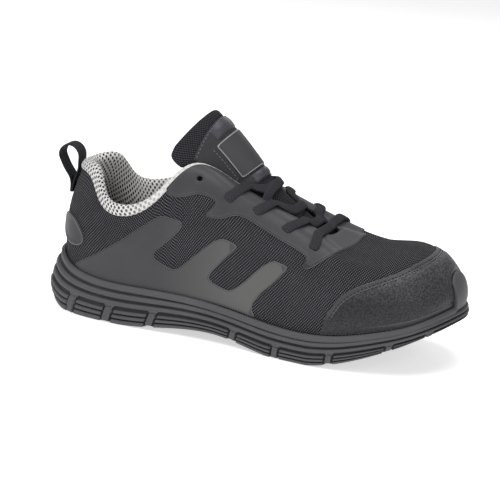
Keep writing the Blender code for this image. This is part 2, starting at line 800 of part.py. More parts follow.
def tongue():
    def under_face(s, t):
        thick = spline_rows(TONGUE_CREST, s)[:, 5]
        return -thick * (1 - 0.55 * np.minimum(np.abs(t), 1) ** 3)

    across = np.linspace(-1, 1, 9)
    along = np.linspace(0, 1, 15)
    side = ((0.0, 1.0), (0.72, 1.0), (0.84, 1.2), (0.965, 1.2), (1.0, 1.05))
    outline = tuple((s, -t) for s, t in side) + side[::-1]
    patch("tongue", outline, along[1:-1], across[1:-1], tongue_point, under_face, even(0.0), FABRIC)
    first, last, half = STRAP_BOX
    strap = box_corners(first, last, half)
    patch("tongue_strap", strap, along, across, tongue_point, even(GAP), even(GAP + FILM), FILM_GREY)
    first, last, half = LABEL_BOX
    label = box_corners(first, last, half)
    out = 2 * GAP + FILM
    patch("tongue_label", label, along, across, tongue_point, even(out), even(out + FILM), LABEL)


def lace_strand(eyelet, side, whole):
    """Middle line of one strand and the way its face looks: from its eyelet on one side over
    the tongue, either to the edge of the throat or to the eyelet across."""
    round_at, up_at, slant, crest, rise, reach = eyelet
    lift = FILM_LIFT + 1.3 * MM + LACE_THICK / 2
    rest = LACE_THICK / 2 + rise
    keys = []

    def add(place, a, b, out):
        point = place([a], [b], out)[0]
        keys.append(np.concatenate([point, place([a], [b], out + MM)[0] - point]))

    def add_stay(hand, steps):
        for up, more in steps:
            u = round_at + slant * up
            add(upper_point, u if hand < 0 else 1 - u, up_at + up * (1 - up_at), lift + more)

    steps = ((0.0, 0.0), (0.5, 0.7 * MM), (0.9, 2.2 * MM))
    add_stay(side, steps)
    if whole:
        add(tongue_point, crest, 0.0, rest)
        add_stay(-side, steps[::-1])
    else:
        add(tongue_point, crest, 0.40 * side, rest + 0.8 * MM)
        add(tongue_point, crest, 0.0, rest)
        add(tongue_point, crest - 0.024, -0.6 * reach * side, rest + 0.4 * MM)
        add(tongue_point, crest - 0.048, -reach * side, rest)
    return np.array(keys)


def ribbon(keys, width, thick, stations):
    """Flat strand along a line; keys hold its points and the way its face looks."""
    line = spline_rows(keys, np.linspace(0, 1, stations))
    line, face = line[:, :3], line[:, 3:]
    side = np.cross(np.gradient(line, axis=0), face)
    side /= np.linalg.norm(side, axis=1)[:, None]
    face = face / np.linalg.norm(face, axis=1)[:, None]
    bm = bmesh.new()
    rows = []
    for k in range(stations):
        corners = []
        for a, b in ((-1, -1), (1, -1), (1, 1), (-1, 1)):
            corners.append(bm.verts.new(line[k] + side[k] * a * width / 2 + face[k] * b * thick / 2))
        rows.append(corners)
    for lower, higher in zip(rows, rows[1:]):
        for i in range(4):
            j = (i + 1) % 4
            bm.faces.new((lower[i], lower[j], higher[j], higher[i]))
    bm.faces.new(rows[0])
    bm.faces.new(rows[-1])
    return bm


def laces():
    """Crossed pairs of strands, each pair one solid, and the straight bar at the front."""
    for k, eyelet in enumerate(EYELETS[:-1]):
        name = f"lace_cross_{k + 1}"
        strands = [lace_strand(eyelet, side, False) for side in (-1, 1)]
        first, second = (ribbon(strand, LACE_WIDTH, LACE_THICK, 11) for strand in strands)
        body = add_mesh(name, first, WEBBING)
        strand = add_mesh(f"{name}_strand", second, None)
        hide_cutter(strand)
        boolean(body, strand, "UNION")
    add_mesh("lace_bar", ribbon(lace_strand(EYELETS[-1], -1, True), LACE_WIDTH, LACE_THICK, 15), WEBBING)


def heel_loop():
    """Folded webbing loop, sewn to the back of the heel."""
    outer = [(x * MM, z * MM) for x, z in LOOP_OUTER]
    inner = [(x * MM, z * MM) for x, z in LOOP_INNER]
    bm = bmesh.new()
    rows = []
    for y in (-LOOP_WIDTH / 2, LOOP_WIDTH / 2):
        edges = []
        sides = []
        for outline in (outer, inner):
            verts = [bm.verts.new((x, y, z)) for x, z in outline]
            sides.append(verts)
            for i, vert in enumerate(verts):
                edges.append(bm.edges.new((vert, verts[(i + 1) % len(verts)])))
        bmesh.ops.triangle_fill(bm, edges=edges, use_beauty=True)
        rows.append(sides)
    for near, far in zip(*rows):
        for i in range(len(near)):
            j = (i + 1) % len(near)
            bm.faces.new((near[i], near[j], far[j], far[i]))
    add_mesh("heel_loop", bm, WEBBING)


def centre_on_floor():
    """Moves every object so that the shoe's box is centred over the origin."""
    bpy.context.view_layer.update()
    shown = [obj for obj in bpy.data.objects if not obj.hide_render]
    points = np.array([obj.matrix_world @ vert.co for obj in shown for vert in obj.data.vertices])
    low = points.min(axis=0)
    high = points.max(axis=0)
    for obj in bpy.data.objects:
        obj.location.x -= (low[0] + high[0]) / 2
        obj.location.y -= (low[1] + high[1]) / 2
        obj.location.z -= low[2]


clear_scene()
RUBBER = material("sole_rubber", (0.035, 0.036, 0.040), 0.70)
FABRIC = material("upper_fabric", (0.050, 0.052, 0.058), 0.95)
FILM_GREY = material("overlay_film", (0.060, 0.062, 0.068), 0.50)
LEATHER = material("toe_leather", (0.030, 0.030, 0.033), 0.45)
LINING = material("lining_mesh", (0.420, 0.420, 0.420), 0.95)
WEBBING = material("lace_webbing", (0.022, 0.024, 0.030), 0.90)
FOAM = material("insole_foam", (0.080, 0.080, 0.085), 0.95)
LABEL = material("label_plate", (0.045, 0.047, 0.052), 0.55)
cut_grooves(outsole())
midsole()
upper()
insole()
overlays()
collar_lining()
tongue()
laces()
heel_loop()
centre_on_floor()
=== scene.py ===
"""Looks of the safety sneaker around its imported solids: every soft and moulded piece is built
again at full fineness from the same two functions that shape the solids, the shell of the
upper and the arch of the tongue, with its folds, seams, holes, stitches and materials."""

import math

import bmesh
import bpy
import numpy as np
from mathutils import Matrix, Vector
from mathutils.geometry import delaunay_2d_cdt


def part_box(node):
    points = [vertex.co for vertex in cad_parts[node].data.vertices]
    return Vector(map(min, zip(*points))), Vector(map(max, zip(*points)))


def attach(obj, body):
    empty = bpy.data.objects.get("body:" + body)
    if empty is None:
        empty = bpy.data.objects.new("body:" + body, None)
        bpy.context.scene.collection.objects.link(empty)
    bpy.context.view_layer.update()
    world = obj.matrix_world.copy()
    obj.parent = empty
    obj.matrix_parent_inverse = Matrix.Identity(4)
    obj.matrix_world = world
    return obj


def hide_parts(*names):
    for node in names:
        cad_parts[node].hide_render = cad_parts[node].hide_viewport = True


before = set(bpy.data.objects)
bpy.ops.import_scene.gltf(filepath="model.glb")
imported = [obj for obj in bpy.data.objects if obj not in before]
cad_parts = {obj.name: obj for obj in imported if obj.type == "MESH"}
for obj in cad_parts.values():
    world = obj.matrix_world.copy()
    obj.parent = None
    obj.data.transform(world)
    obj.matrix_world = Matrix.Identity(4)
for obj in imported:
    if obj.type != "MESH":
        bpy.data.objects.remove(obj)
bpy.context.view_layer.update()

MM = 0.001
# Steps in shares over which slopes of the faces are taken
FINE_STEP = 1e-4
STEP = 1e-3
# About how many millimetres the whole way round and the whole way up the upper are
ROUND_MM = 700.0
UP_MM = 100.0
# Millimetres round the side of the sole
SOLE_ROUND_MM = 715

# Sizes of the solids, as in the part's source
LENGTH = 300 * MM
BALL_WIDTH = 109 * MM
HEEL_HEIGHT = 104 * MM
SOLE_HEIGHT = 30 * MM
WALL = 2.2 * MM
GAP = 0.3 * MM
RIM = 3.0 * MM
CUP = 5.0 * MM
PARTING = 0.54
RIB_DEPTH = 1.9 * MM
BAR_PROUD = 0.5 * MM
THROAT_SHIFT = 4 * MM
LOOP_WIDTH = 13 * MM

# The sole from the back of the heel to the tip of the toe, in shares of the sizes above
SOLE_ROWS = (
    # at, outer, inner, under, seat, lean, tuck
    (0.000, -0.015, 0.015, 0.15, 1.36, 0.062, 0.030),
    (0.020, 0.165, 0.185, 0.09, 1.31, 0.056, 0.028),
    (0.070, 0.292, 0.300, -0.02, 1.13, 0.040, 0.024),
    (0.150, 0.360, 0.352, -0.02, 0.98, 0.030, 0.020),
    (0.250, 0.385, 0.356, 0.02, 0.96, 0.026, 0.020),
    (0.370, 0.400, 0.326, 0.18, 0.97, 0.022, 0.022),
    (0.470, 0.425, 0.310, 0.21, 0.90, 0.020, 0.022),
    (0.570, 0.462, 0.350, 0.03, 0.77, 0.020, 0.020),
    (0.670, 0.500, 0.430, -0.02, 0.72, 0.020, 0.020),
    (0.760, 0.512, 0.480, 0.17, 0.82, 0.020, 0.024),
    (0.840, 0.480, 0.492, 0.46, 1.00, 0.020, 0.030),
    (0.910, 0.395, 0.450, 0.74, 1.18, 0.020, 0.040),
    (0.960, 0.250, 0.360, 0.93, 1.36, 0.022, 0.050),
    (0.990, 0.070, 0.220, 1.03, 1.46, 0.024, 0.056),
    (1.000, -0.070, 0.070, 1.05, 1.49, 0.026, 0.058),
)
# The opening's edge, one row for each row of the sole
EDGE_ROWS = (
    # at, half, height, rise, profile
    (0.066, 0.000, 0.985, 0.000, "heel"),
    (0.076, 0.090, 0.990, 0.005, "heel"),
    (0.113, 0.190, 0.990, 0.012, "heel"),
    (0.150, 0.275, 0.830, 0.030, "side"),
    (0.215, 0.305, 0.785, 0.050, "quarter"),
    (0.290, 0.285, 0.940, 0.030, "quarter"),
    (0.360, 0.235, 1.138, 0.000, "instep"),
    (0.450, 0.175, 1.048, 0.000, "instep"),
    (0.550, 0.145, 0.915, 0.000, "instep"),
    (0.630, 0.125, 0.812, 0.000, "vamp"),
    (0.665, 0.098, 0.766, 0.004, "cap"),
    (0.678, 0.070, 0.766, 0.008, "cap"),
    (0.684, 0.045, 0.774, 0.010, "toe"),
    (0.686, 0.020, 0.784, 0.006, "toe"),
    (0.687, 0.000, 0.790, 0.000, "toe"),
)
PROFILES = {
    "heel": ((-0.06, 0.16), (-0.10, 0.44), (0.26, 0.70), (0.72, 0.90)),
    "side": ((-0.10, 0.18), (-0.06, 0.44), (0.26, 0.70), (0.76, 0.90)),
    "quarter": ((-0.10, 0.20), (0.00, 0.46), (0.26, 0.72), (0.78, 0.91)),
    "instep": ((-0.04, 0.22), (0.04, 0.56), (0.30, 0.84), (0.70, 0.97)),
    "vamp": ((-0.02, 0.28), (0.04, 0.62), (0.295, 0.88), (0.66, 0.917)),
    "cap": ((-0.02, 0.32), (0.05, 0.675), (0.32, 0.90), (0.66, 0.835)),
    "toe": ((-0.02, 0.29), (0.08, 0.67), (0.32, 0.98), (0.63, 0.817)),
}
BARS = (
    # at the bottom, at the top, width
    (0.018, 0.020, 0.009),
    (0.062, 0.070, 0.0105),
    (0.106, 0.112, 0.0105),
    (0.153, 0.159, 0.0100),
    (0.242, 0.245, 0.0085),
    (0.289, 0.291, 0.0085),
    (0.345, 0.347, 0.0085),
    (0.402, 0.403, 0.0080),
    (0.443, 0.441, 0.0075),
)
# Rounded ribs of the side, in shares of each layer's height
OUTSOLE_RIBS = ((0.00, 0.29), (0.355, 0.585), (0.65, 0.875))
MIDSOLE_RIBS = ((0.04, 0.27), (0.37, 0.62))
RIM_ROWS = (
    # share of the way up the lip, distance out from the upper
    (0.06, 2.5 * MM),
    (0.16, 3.1 * MM),
    (0.34, 3.4 * MM),
    (0.60, 3.4 * MM),
    (0.82, 3.0 * MM),
    (0.96, 2.2 * MM),
    (1.02, 1.4 * MM),
    (0.99, 0.8 * MM),
    (0.90, 0.6 * MM),
    (0.50, 0.6 * MM),
    (0.00, 0.5 * MM),
)
BUMPER_HALF = 0.022
BUMPER_SIDE = 0.20
BUMPER_TOP = 0.29
BUMPER_EDGE = 0.0014

# Outlines of what lies on the upper: share of the way round, share of the way up
QUARTER_OVERLAY = (
    (0.061, 0.030), (0.061, 0.063), (0.082, 0.199), (0.094, 0.310), (0.105, 0.437), (0.118, 0.552),
    (0.131, 0.673), (0.145, 0.759), (0.161, 0.815), (0.169, 0.823), (0.173, 0.820), (0.177, 0.803),
    (0.183, 0.754), (0.188, 0.697), (0.190, 0.668), (0.190, 0.646), (0.187, 0.612), (0.175, 0.571),
    (0.162, 0.495), (0.156, 0.446), (0.153, 0.400), (0.154, 0.351), (0.160, 0.302), (0.167, 0.255),
    (0.172, 0.234), (0.178, 0.241), (0.183, 0.266), (0.192, 0.307), (0.203, 0.330), (0.213, 0.349),
    (0.218, 0.354), (0.224, 0.353), (0.231, 0.343), (0.237, 0.329), (0.240, 0.323), (0.241, 0.313),
    (0.240, 0.303), (0.234, 0.270), (0.223, 0.221), (0.215, 0.180), (0.211, 0.157), (0.211, 0.142),
    (0.214, 0.124), (0.222, 0.105), (0.231, 0.095), (0.236, 0.101), (0.242, 0.123), (0.251, 0.163),
    (0.261, 0.230), (0.270, 0.291), (0.276, 0.330), (0.283, 0.364), (0.290, 0.370), (0.296, 0.370),
    (0.297, 0.362), (0.295, 0.338), (0.287, 0.274), (0.278, 0.207), (0.267, 0.141), (0.261, 0.094),
    (0.259, 0.074), (0.259, 0.055), (0.263, 0.030),
)
EYESTAY_LOWER = (
    (0.193, 0.988), (0.192, 0.957), (0.192, 0.923), (0.194, 0.883), (0.198, 0.844), (0.207, 0.789),
    (0.213, 0.760), (0.219, 0.711), (0.224, 0.647), (0.226, 0.619), (0.222, 0.598), (0.217, 0.590),
    (0.213, 0.583), (0.214, 0.544), (0.220, 0.504), (0.229, 0.482), (0.238, 0.505), (0.246, 0.530),
    (0.253, 0.544), (0.260, 0.549), (0.274, 0.561), (0.289, 0.567), (0.303, 0.561), (0.315, 0.549),
    (0.320, 0.530), (0.320, 0.497), (0.316, 0.444), (0.315, 0.417), (0.318, 0.410), (0.3246, 0.443),
    (0.3293, 0.475), (0.3342, 0.511), (0.3393, 0.550), (0.3447, 0.592), (0.3507, 0.639),
    (0.3541, 0.667), (0.3579, 0.698), (0.3615, 0.728), (0.3663, 0.767), (0.3738, 0.819),
    (0.3828, 0.861), (0.3936, 0.889), (0.4017, 0.900), (0.4087, 0.905), (0.4223, 0.913),
    (0.4380, 0.922), (0.4562, 0.930), (0.4766, 0.933), (0.500, 0.937),
)
TOE_CAP_SEAM = (
    (0.334, 0.036), (0.335, 0.081), (0.337, 0.118), (0.340, 0.153), (0.345, 0.196), (0.351, 0.244),
    (0.357, 0.282), (0.365, 0.316), (0.374, 0.353), (0.386, 0.388), (0.398, 0.428), (0.411, 0.468),
    (0.426, 0.497), (0.438, 0.507), (0.447, 0.512), (0.461, 0.524), (0.476, 0.540), (0.495, 0.551),
)
BADGE_SPOT = (0.046, 0.31)
BADGE_HALF = (0.027, 0.128)

# The tongue's crest from its hidden front end to its top
TONGUE_ROWS = (
    # at, height, middle, half, sag, thick
    (0.715, 0.694, 0.040, 0.100, 0.020, 2.5 * MM),
    (0.667, 0.750, 0.036, 0.128, 0.078, 4.0 * MM),
    (0.617, 0.845, 0.020, 0.140, 0.130, 5.5 * MM),
    (0.567, 0.945, 0.008, 0.154, 0.190, 7.0 * MM),
    (0.523, 1.060, 0.000, 0.170, 0.245, 8.0 * MM),
    (0.487, 1.165, 0.000, 0.186, 0.265, 9.0 * MM),
    (0.437, 1.310, 0.000, 0.212, 0.262, 9.5 * MM),
    (0.393, 1.415, 0.000, 0.236, 0.264, 9.5 * MM),
    (0.367, 1.470, 0.000, 0.240, 0.240, 6.0 * MM),
)
TONGUE_BEND = math.radians(78)
# How far round its bend the tongue reaches, from its front end to its top
TONGUE_REACH = ((0.0, 1.0), (0.70, 1.0), (0.76, 1.04), (0.83, 1.20), (0.97, 1.22), (1.0, 1.16))
PANEL_FOOT = 0.535
PANEL_TOP = 0.896
PANEL_SIDE = 0.96
# Sewn lines across the panel
SEWN_LINES = (0.596, 0.794)
# First end, last end and half breadth of the smooth strips and of the label
STRIPS = ((0.536, 0.590, 0.46), (0.803, 0.884, 0.49))
LABEL_BOX = (0.602, 0.785, 0.61)


class Ring:
    """Closed cubic spline through rows of values at knots between 0 and 1."""

    def __init__(self, knots, values):
        self.knots = np.append(knots, knots[0] + 1)
        self.values = np.vstack([values, values[:1]])
        steps = np.diff(self.knots)
        count = len(steps)
        slope = np.diff(self.values, axis=0) / steps[:, None]
        matrix = np.zeros((count, count))
        right = np.zeros((count, self.values.shape[1]))
        for i in range(count):
            before = (i - 1) % count
            matrix[i, before] += steps[before]
            matrix[i, i] += 2 * (steps[before] + steps[i])
            matrix[i, (i + 1) % count] += steps[i]
            right[i] = 6 * (slope[i] - slope[before])
        second = np.linalg.solve(matrix, right)
        self.second = np.vstack([second, second[:1]])

    def __call__(self, u):
        u = np.atleast_1d(np.asarray(u, float)) % 1.0
        i = np.clip(np.searchsorted(self.knots, u, side="right") - 1, 0, len(self.knots) - 2)
        step = (self.knots[i + 1] - self.knots[i])[:, None]
        a = (self.knots[i + 1] - u)[:, None]
        b = (u - self.knots[i])[:, None]
        bend = self.second[i] * a**3 / (6 * step) + self.second[i + 1] * b**3 / (6 * step)
        first = (self.values[i] / step - self.second[i] * step / 6) * a
        last = (self.values[i + 1] / step - self.second[i + 1] * step / 6) * b
        return bend + first + last


def both_sides(outer, inner):
    return np.vstack([outer, inner[-2:0:-1]])


def row_knots():
    """Where each row lies on the way round: 0 at the heel, 0.5 at the toe."""
    outer = np.array([(LENGTH * row[0], -BALL_WIDTH * row[1]) for row in SOLE_ROWS])
    inner = np.array([(LENGTH * row[0], BALL_WIDTH * row[2]) for row in SOLE_ROWS])
    steps = np.linalg.norm(np.diff(outer, axis=0), axis=1)
    steps = steps + np.linalg.norm(np.diff(inner, axis=0), axis=1)
    along = np.concatenate([[0], np.cumsum(steps)])
    return along / along[-1] / 2


def sole_rows(side):
    """x, y, underside, seat, lean and tuck of each row on one side."""
    rows = []
    for at, outer, inner, under, seat, lean, tuck in SOLE_ROWS:
        y = -BALL_WIDTH * outer if side < 0 else BALL_WIDTH * inner
        heights = (SOLE_HEIGHT * under, SOLE_HEIGHT * seat)
        rows.append((LENGTH * at, y, *heights, BALL_WIDTH * lean, BALL_WIDTH * tuck))
    return np.array(rows)


KNOTS = row_knots()
RING_KNOTS = np.concatenate([KNOTS, 1 - KNOTS[-2:0:-1]])
SOLE = Ring(RING_KNOTS, both_sides(sole_rows(-1), sole_rows(1)))


def inward(u):
    """Unit vectors in the ground plane from the outline towards the foot."""
    ahead = SOLE(u + FINE_STEP)[:, :2] - SOLE(u - FINE_STEP)[:, :2]
    ahead /= np.linalg.norm(ahead, axis=1)[:, None]
    return np.stack([-ahead[:, 1], ahead[:, 0]], 1)


def upper_rows(side):
    """Six control points of each row on one side, foot to edge, as one line of numbers."""
    rows = []
    last = len(EDGE_ROWS) - 1
    for k, (at, half, height, rise, name) in enumerate(EDGE_ROWS):
        u = np.array([KNOTS[k] if side < 0 else -KNOTS[k]])
        here = SOLE(u)[0]
        foot = here[:3].copy()
        foot[:2] += (here[4] + RIM) * inward(u)[0]
        foot[2] = here[3] - CUP
        y = side * BALL_WIDTH * half
        if k >= 9:
            y += THROAT_SHIFT
        z = HEEL_HEIGHT * (height + (rise if side > 0 and 0 < k < last else 0))
        edge = np.array([LENGTH * at, y, z])
        points = [foot]
        for across, up in PROFILES[name]:
            point = foot + across * (edge - foot)
            point[2] = foot[2] + up * (edge[2] - foot[2])
            points.append(point)
        points.append(edge)
        rows.append(np.concatenate(points))
    return np.array(rows)


CONTROLS = Ring(RING_KNOTS, both_sides(upper_rows(-1), upper_rows(1)))


def basis(w):
    """Weights of the six control points of a clamped cubic B-spline."""
    knots = np.concatenate([np.zeros(3), np.linspace(0, 1, 4), np.ones(3)])
    w = np.clip(np.atleast_1d(w), 0, 1 - 1e-12)
    value = [((knots[i] <= w) & (w < knots[i + 1])).astype(float) for i in range(9)]
    for degree in range(1, 4):
        for i in range(9 - degree):
            left = knots[i + degree] - knots[i]
            right = knots[i + degree + 1] - knots[i + 1]
            rising = (w - knots[i]) / left * value[i] if left else 0
            falling = (knots[i + degree + 1] - w) / right * value[i + 1] if right else 0
            value[i] = rising + falling
    return np.stack(value[:6], 1)


def on_upper(u, w):
    u = np.asarray(u, float)
    w = np.asarray(w, float)
    controls = CONTROLS(u).reshape(-1, 6, 3)
    return np.einsum("ni,nij->nj", basis(w), controls)


def upper_point(u, w, out):
    """Points at shares round and up, moved out from the upper's outer face."""
    u = np.asarray(u, float)
    w = np.clip(np.asarray(w, float), 0, 1)
    low = np.clip(w - STEP, 0, 1)
    high = np.clip(w + STEP, 0, 1)
    along = on_upper(u + FINE_STEP, w) - on_upper(u - FINE_STEP, w)
    normal = np.cross(along, on_upper(u, high) - on_upper(u, low))
    normal /= np.linalg.norm(normal, axis=1)[:, None]
    return on_upper(u, w) + normal * np.reshape(out, (-1, 1))


def spline_rows(rows, s):
    """Natural cubic spline through evenly spaced rows at s between 0 and 1."""
    rows = np.array(rows, float)
    count = len(rows)
    matrix = np.eye(count)
    right = np.zeros(rows.shape)
    for i in range(1, count - 1):
        matrix[i, i - 1 : i + 2] = (1, 4, 1)
        right[i] = 6 * (rows[i + 1] - 2 * rows[i] + rows[i - 1])
    second = np.linalg.solve(matrix, right)
    place = np.clip(np.atleast_1d(s), 0, 1) * (count - 1)
    i = np.clip(place.astype(int), 0, count - 2)
    b = (place - i)[:, None]
    a = 1 - b
    bend = (second[i] * (a**3 - a) + second[i + 1] * (b**3 - b)) / 6
    return rows[i] * a + rows[i + 1] * b + bend


TONGUE_CREST = [
    (LENGTH * at, BALL_WIDTH * middle, HEEL_HEIGHT * height, BALL_WIDTH * half, BALL_WIDTH * sag, thick)
    for at, height, middle, half, sag, thick in TONGUE_ROWS
]


def on_tongue(s, t):
    """Points of the tongue's face, s from its front end to its top, t from -1 to 1 across."""
    s = np.asarray(s, float)
    t = np.asarray(t, float)
    row = spline_rows(TONGUE_CREST, s)
    ahead = spline_rows(TONGUE_CREST, np.clip(s + STEP, 0, 1))
    ahead = ahead - spline_rows(TONGUE_CREST, np.clip(s - STEP, 0, 1))
    along = ahead[:, [0, 2]] / np.linalg.norm(ahead[:, [0, 2]], axis=1)[:, None]
    angle = t * TONGUE_BEND
    across = row[:, 3] * np.sin(angle) / math.sin(TONGUE_BEND)
    drop = row[:, 4] * (1 - np.cos(angle)) / (1 - math.cos(TONGUE_BEND))
    x = row[:, 0] - drop * along[:, 1]
    z = row[:, 2] + drop * along[:, 0]
    return np.stack([x, row[:, 1] + across, z], 1)


def tongue_point(s, t, out):
    """Points of the tongue's face, moved out from it."""
    s = np.asarray(s, float)
    t = np.asarray(t, float)
    along = on_tongue(np.clip(s + STEP, 0, 1), t) - on_tongue(np.clip(s - STEP, 0, 1), t)
    across = on_tongue(s, t + STEP) - on_tongue(s, t - STEP)
    normal = np.cross(across, along)
    normal /= np.linalg.norm(normal, axis=1)[:, None]
    return on_tongue(s, t) + normal * np.reshape(out, (-1, 1))


def smooth_step(value, low, high):
    share = np.clip((value - low) / (high - low), 0, 1)
    return share * share * (3 - 2 * share)


def rounding(distance, breadth):
    """A quarter circle: 0 at distance 0, 1 from breadth on."""
    share = np.clip(distance / breadth, 0, 1)
    return np.sqrt(np.clip(1 - (1 - share) ** 2, 0, 1))


def lengths_along(points):
    """Running length at each point of a line."""
    return np.concatenate([[0], np.cumsum(np.linalg.norm(np.diff(points, axis=0), axis=1))])


def half_columns(marks, most):
    """Shares round from heel to toe: the marks, and even steps between them."""
    columns = [0.0]
    for mark in sorted(marks) + [0.5]:
        start = columns[-1]
        fine = most * (0.6 if mark > 0.43 or mark < 0.06 else 1.0)
        steps = max(1, math.ceil((mark - start) / fine - 1e-9))
        for k in range(1, steps + 1):
            columns.append(start + (mark - start) * k / steps)
    return columns


def full_round(half):
    return np.array(list(half) + [1 - u for u in half[-2:0:-1]])


def frame_shift():
    """The move from the tables' own corner to the frame, read from the solid of the upper."""
    around = full_round(half_columns([0.185, 0.262, 0.338, 0.466], 0.0175))
    ups = (0.0, 0.10, 0.24, 0.40, 0.56, 0.73, 0.87, 0.94, 1.0)
    corners = []
    for up in ups:
        for out in (0.0, -WALL):
            corners.append(upper_point(around, np.full(len(around), up), out))
    return np.array(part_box("upper")[0]) - np.vstack(corners).min(axis=0)


SHIFT = frame_shift()

# Folds that walking has pressed into the upper: from (round, up) to (round, up), half breadth
# and depth in millimetres, on the outer side and, a little weaker, on the inner side
FOLDS = (
    (0.318, 0.40, 0.338, 0.60, 4.5, -0.45),
    (0.300, 0.30, 0.324, 0.52, 4.0, 0.30),
    (0.282, 0.16, 0.304, 0.38, 4.5, -0.35),
    (0.238, 0.10, 0.262, 0.36, 5.0, 0.25),
    (0.205, 0.46, 0.238, 0.60, 5.0, -0.40),
    (0.190, 0.40, 0.222, 0.50, 4.0, 0.30),
    (0.150, 0.60, 0.176, 0.80, 5.0, -0.45),
    (0.120, 0.50, 0.150, 0.66, 5.0, 0.35),
    (0.078, 0.62, 0.122, 0.88, 6.0, -0.40),
    (0.040, 0.55, 0.080, 0.70, 6.0, 0.30),
)
# How far a fold bows, how it fades past its ends, in millimetres, and its strength inside
FOLD_BOW = 1.6
FOLD_FADE = 7
INNER_FOLDS = 0.7


def relief(u, w):
    """Height of the folds over the smooth form."""
    u = np.asarray(u, float) % 1.0
    w = np.asarray(w, float)
    height = np.zeros(np.broadcast(u, w).shape)
    for hand in (1, -1):
        side = u if hand > 0 else 1 - u
        for u0, w0, u1, w1, breadth, depth in FOLDS:
            a = np.array([u0 * ROUND_MM, w0 * UP_MM])
            b = np.array([u1 * ROUND_MM, w1 * UP_MM])
            run = b - a
            length = np.linalg.norm(run)
            x = side * ROUND_MM - a[0]
            y = w * UP_MM - a[1]
            along = (x * run[0] + y * run[1]) / length
            off = (x * run[1] - y * run[0]) / length
            off = off - FOLD_BOW * np.sin(math.pi * np.clip(along / length, 0, 1))
            past = np.maximum(np.maximum(-along, along - length), 0)
            share = np.exp(-((off / breadth) ** 2) - (past / FOLD_FADE) ** 2)
            height += depth * MM * share * (1.0 if hand > 0 else INNER_FOLDS)
    return height


def skin(u, w, out):
    """As upper_point, with the folds, and going straight on past the opening's edge."""
    u = np.asarray(u, float)
    w = np.asarray(w, float)
    beyond = np.maximum(w - 1, 0)
    point = upper_point(u, w, np.reshape(out, -1) + relief(u, np.clip(w, 0, 1)))
    if beyond.any():
        rising = (on_upper(u, np.ones(len(u))) - on_upper(u, np.full(len(u), 0.99))) * 100
        point = point + rising * beyond[:, None]
    return point


def edge_reach(u):
    """Metres for each share of the way up, close under the opening's edge."""
    last = on_upper(u, np.ones(len(u))) - on_upper(u, np.full(len(u), 0.98))
    return np.linalg.norm(last, axis=1) * 50


def cloth_table():
    """Lengths round the upper's cross-sections, from its middle line outwards, by angle
    round a line low inside the shoe."""
    u, w = np.meshgrid(np.linspace(0, 1, 721), np.linspace(0, 1, 121))
    points = on_upper(u.ravel(), w.ravel())
    turn = np.arctan2(points[:, 1], points[:, 2] - HUB_HEIGHT)
    reach = np.hypot(points[:, 1], points[:, 2] - HUB_HEIGHT)
    step = HUB_TURNS[1] - HUB_TURNS[0]
    table = []
    for x in np.linspace(0, LENGTH, 76):
        x = min(max(x, points[:, 0].min()), points[:, 0].max())
        near = np.abs(points[:, 0] - x) < 4 * MM
        bins = np.round((turn[near] - HUB_TURNS[0]) / step).astype(int)
        bins = np.clip(bins, 0, len(HUB_TURNS) - 1)
        total = np.bincount(bins, reach[near], len(HUB_TURNS))
        count = np.bincount(bins, minlength=len(HUB_TURNS))
        filled = count > 0
        radius = np.interp(HUB_TURNS, HUB_TURNS[filled], total[filled] / count[filled])
        radius = np.convolve(np.pad(radius, 3, "edge"), np.ones(7) / 7, "valid")
        speed = np.hypot(radius, np.gradient(radius, HUB_TURNS))
        run = np.concatenate([[0], np.cumsum((speed[1:] + speed[:-1]) / 2 * step)])
        table.append(run - np.interp(0.0, HUB_TURNS, run))
    return np.array(table)


HUB_HEIGHT = 20 * MM
HUB_TURNS = np.linspace(-1.75, 1.75, 85)
# Up to here the cloth is measured round the heel, from here on along the shoe
HEEL_TURN = 0.12
CLOTH = cloth_table()


def cloth_place(u, w):
    """Millimetres along and round the cloth of the upper, for woven patterns. The second one
    runs on over the vamp from side to side."""
    u = np.asarray(u, float) % 1.0
    w = np.clip(np.asarray(w, float), 0, 1)
    half = np.minimum(u, 1 - u)
    points = on_upper(u, w)
    span = np.linspace(0, HEEL_TURN, 40)
    arc = lengths_along(on_upper(span, np.full(40, 0.45)))
    start = on_upper(np.where(u < 0.5, HEEL_TURN, 1 - HEEL_TURN), w)[:, 0]
    along = np.interp(half, span, arc) + np.where(half > HEEL_TURN, points[:, 0] - start, 0)
    kept = np.where(u < 0.5, np.maximum(u, HEEL_TURN), np.minimum(u, 1 - HEEL_TURN))
    steady = on_upper(kept, w)
    x = np.clip(steady[:, 0] / LENGTH, 0, 1) * (len(CLOTH) - 1)
    angle = np.arctan2(steady[:, 1], steady[:, 2] - HUB_HEIGHT)
    y = np.clip((angle - HUB_TURNS[0]) / (HUB_TURNS[1] - HUB_TURNS[0]), 0, len(HUB_TURNS) - 1.001)
    i = np.minimum(x.astype(int), len(CLOTH) - 2)
    k = y.astype(int)
    fx = x - i
    fy = y - k
    up = CLOTH[i, k] * (1 - fx) * (1 - fy) + CLOTH[i + 1, k] * fx * (1 - fy)
    up += CLOTH[i, k + 1] * (1 - fx) * fy + CLOTH[i + 1, k + 1] * fx * fy
    return np.stack([along, up], 1) / MM


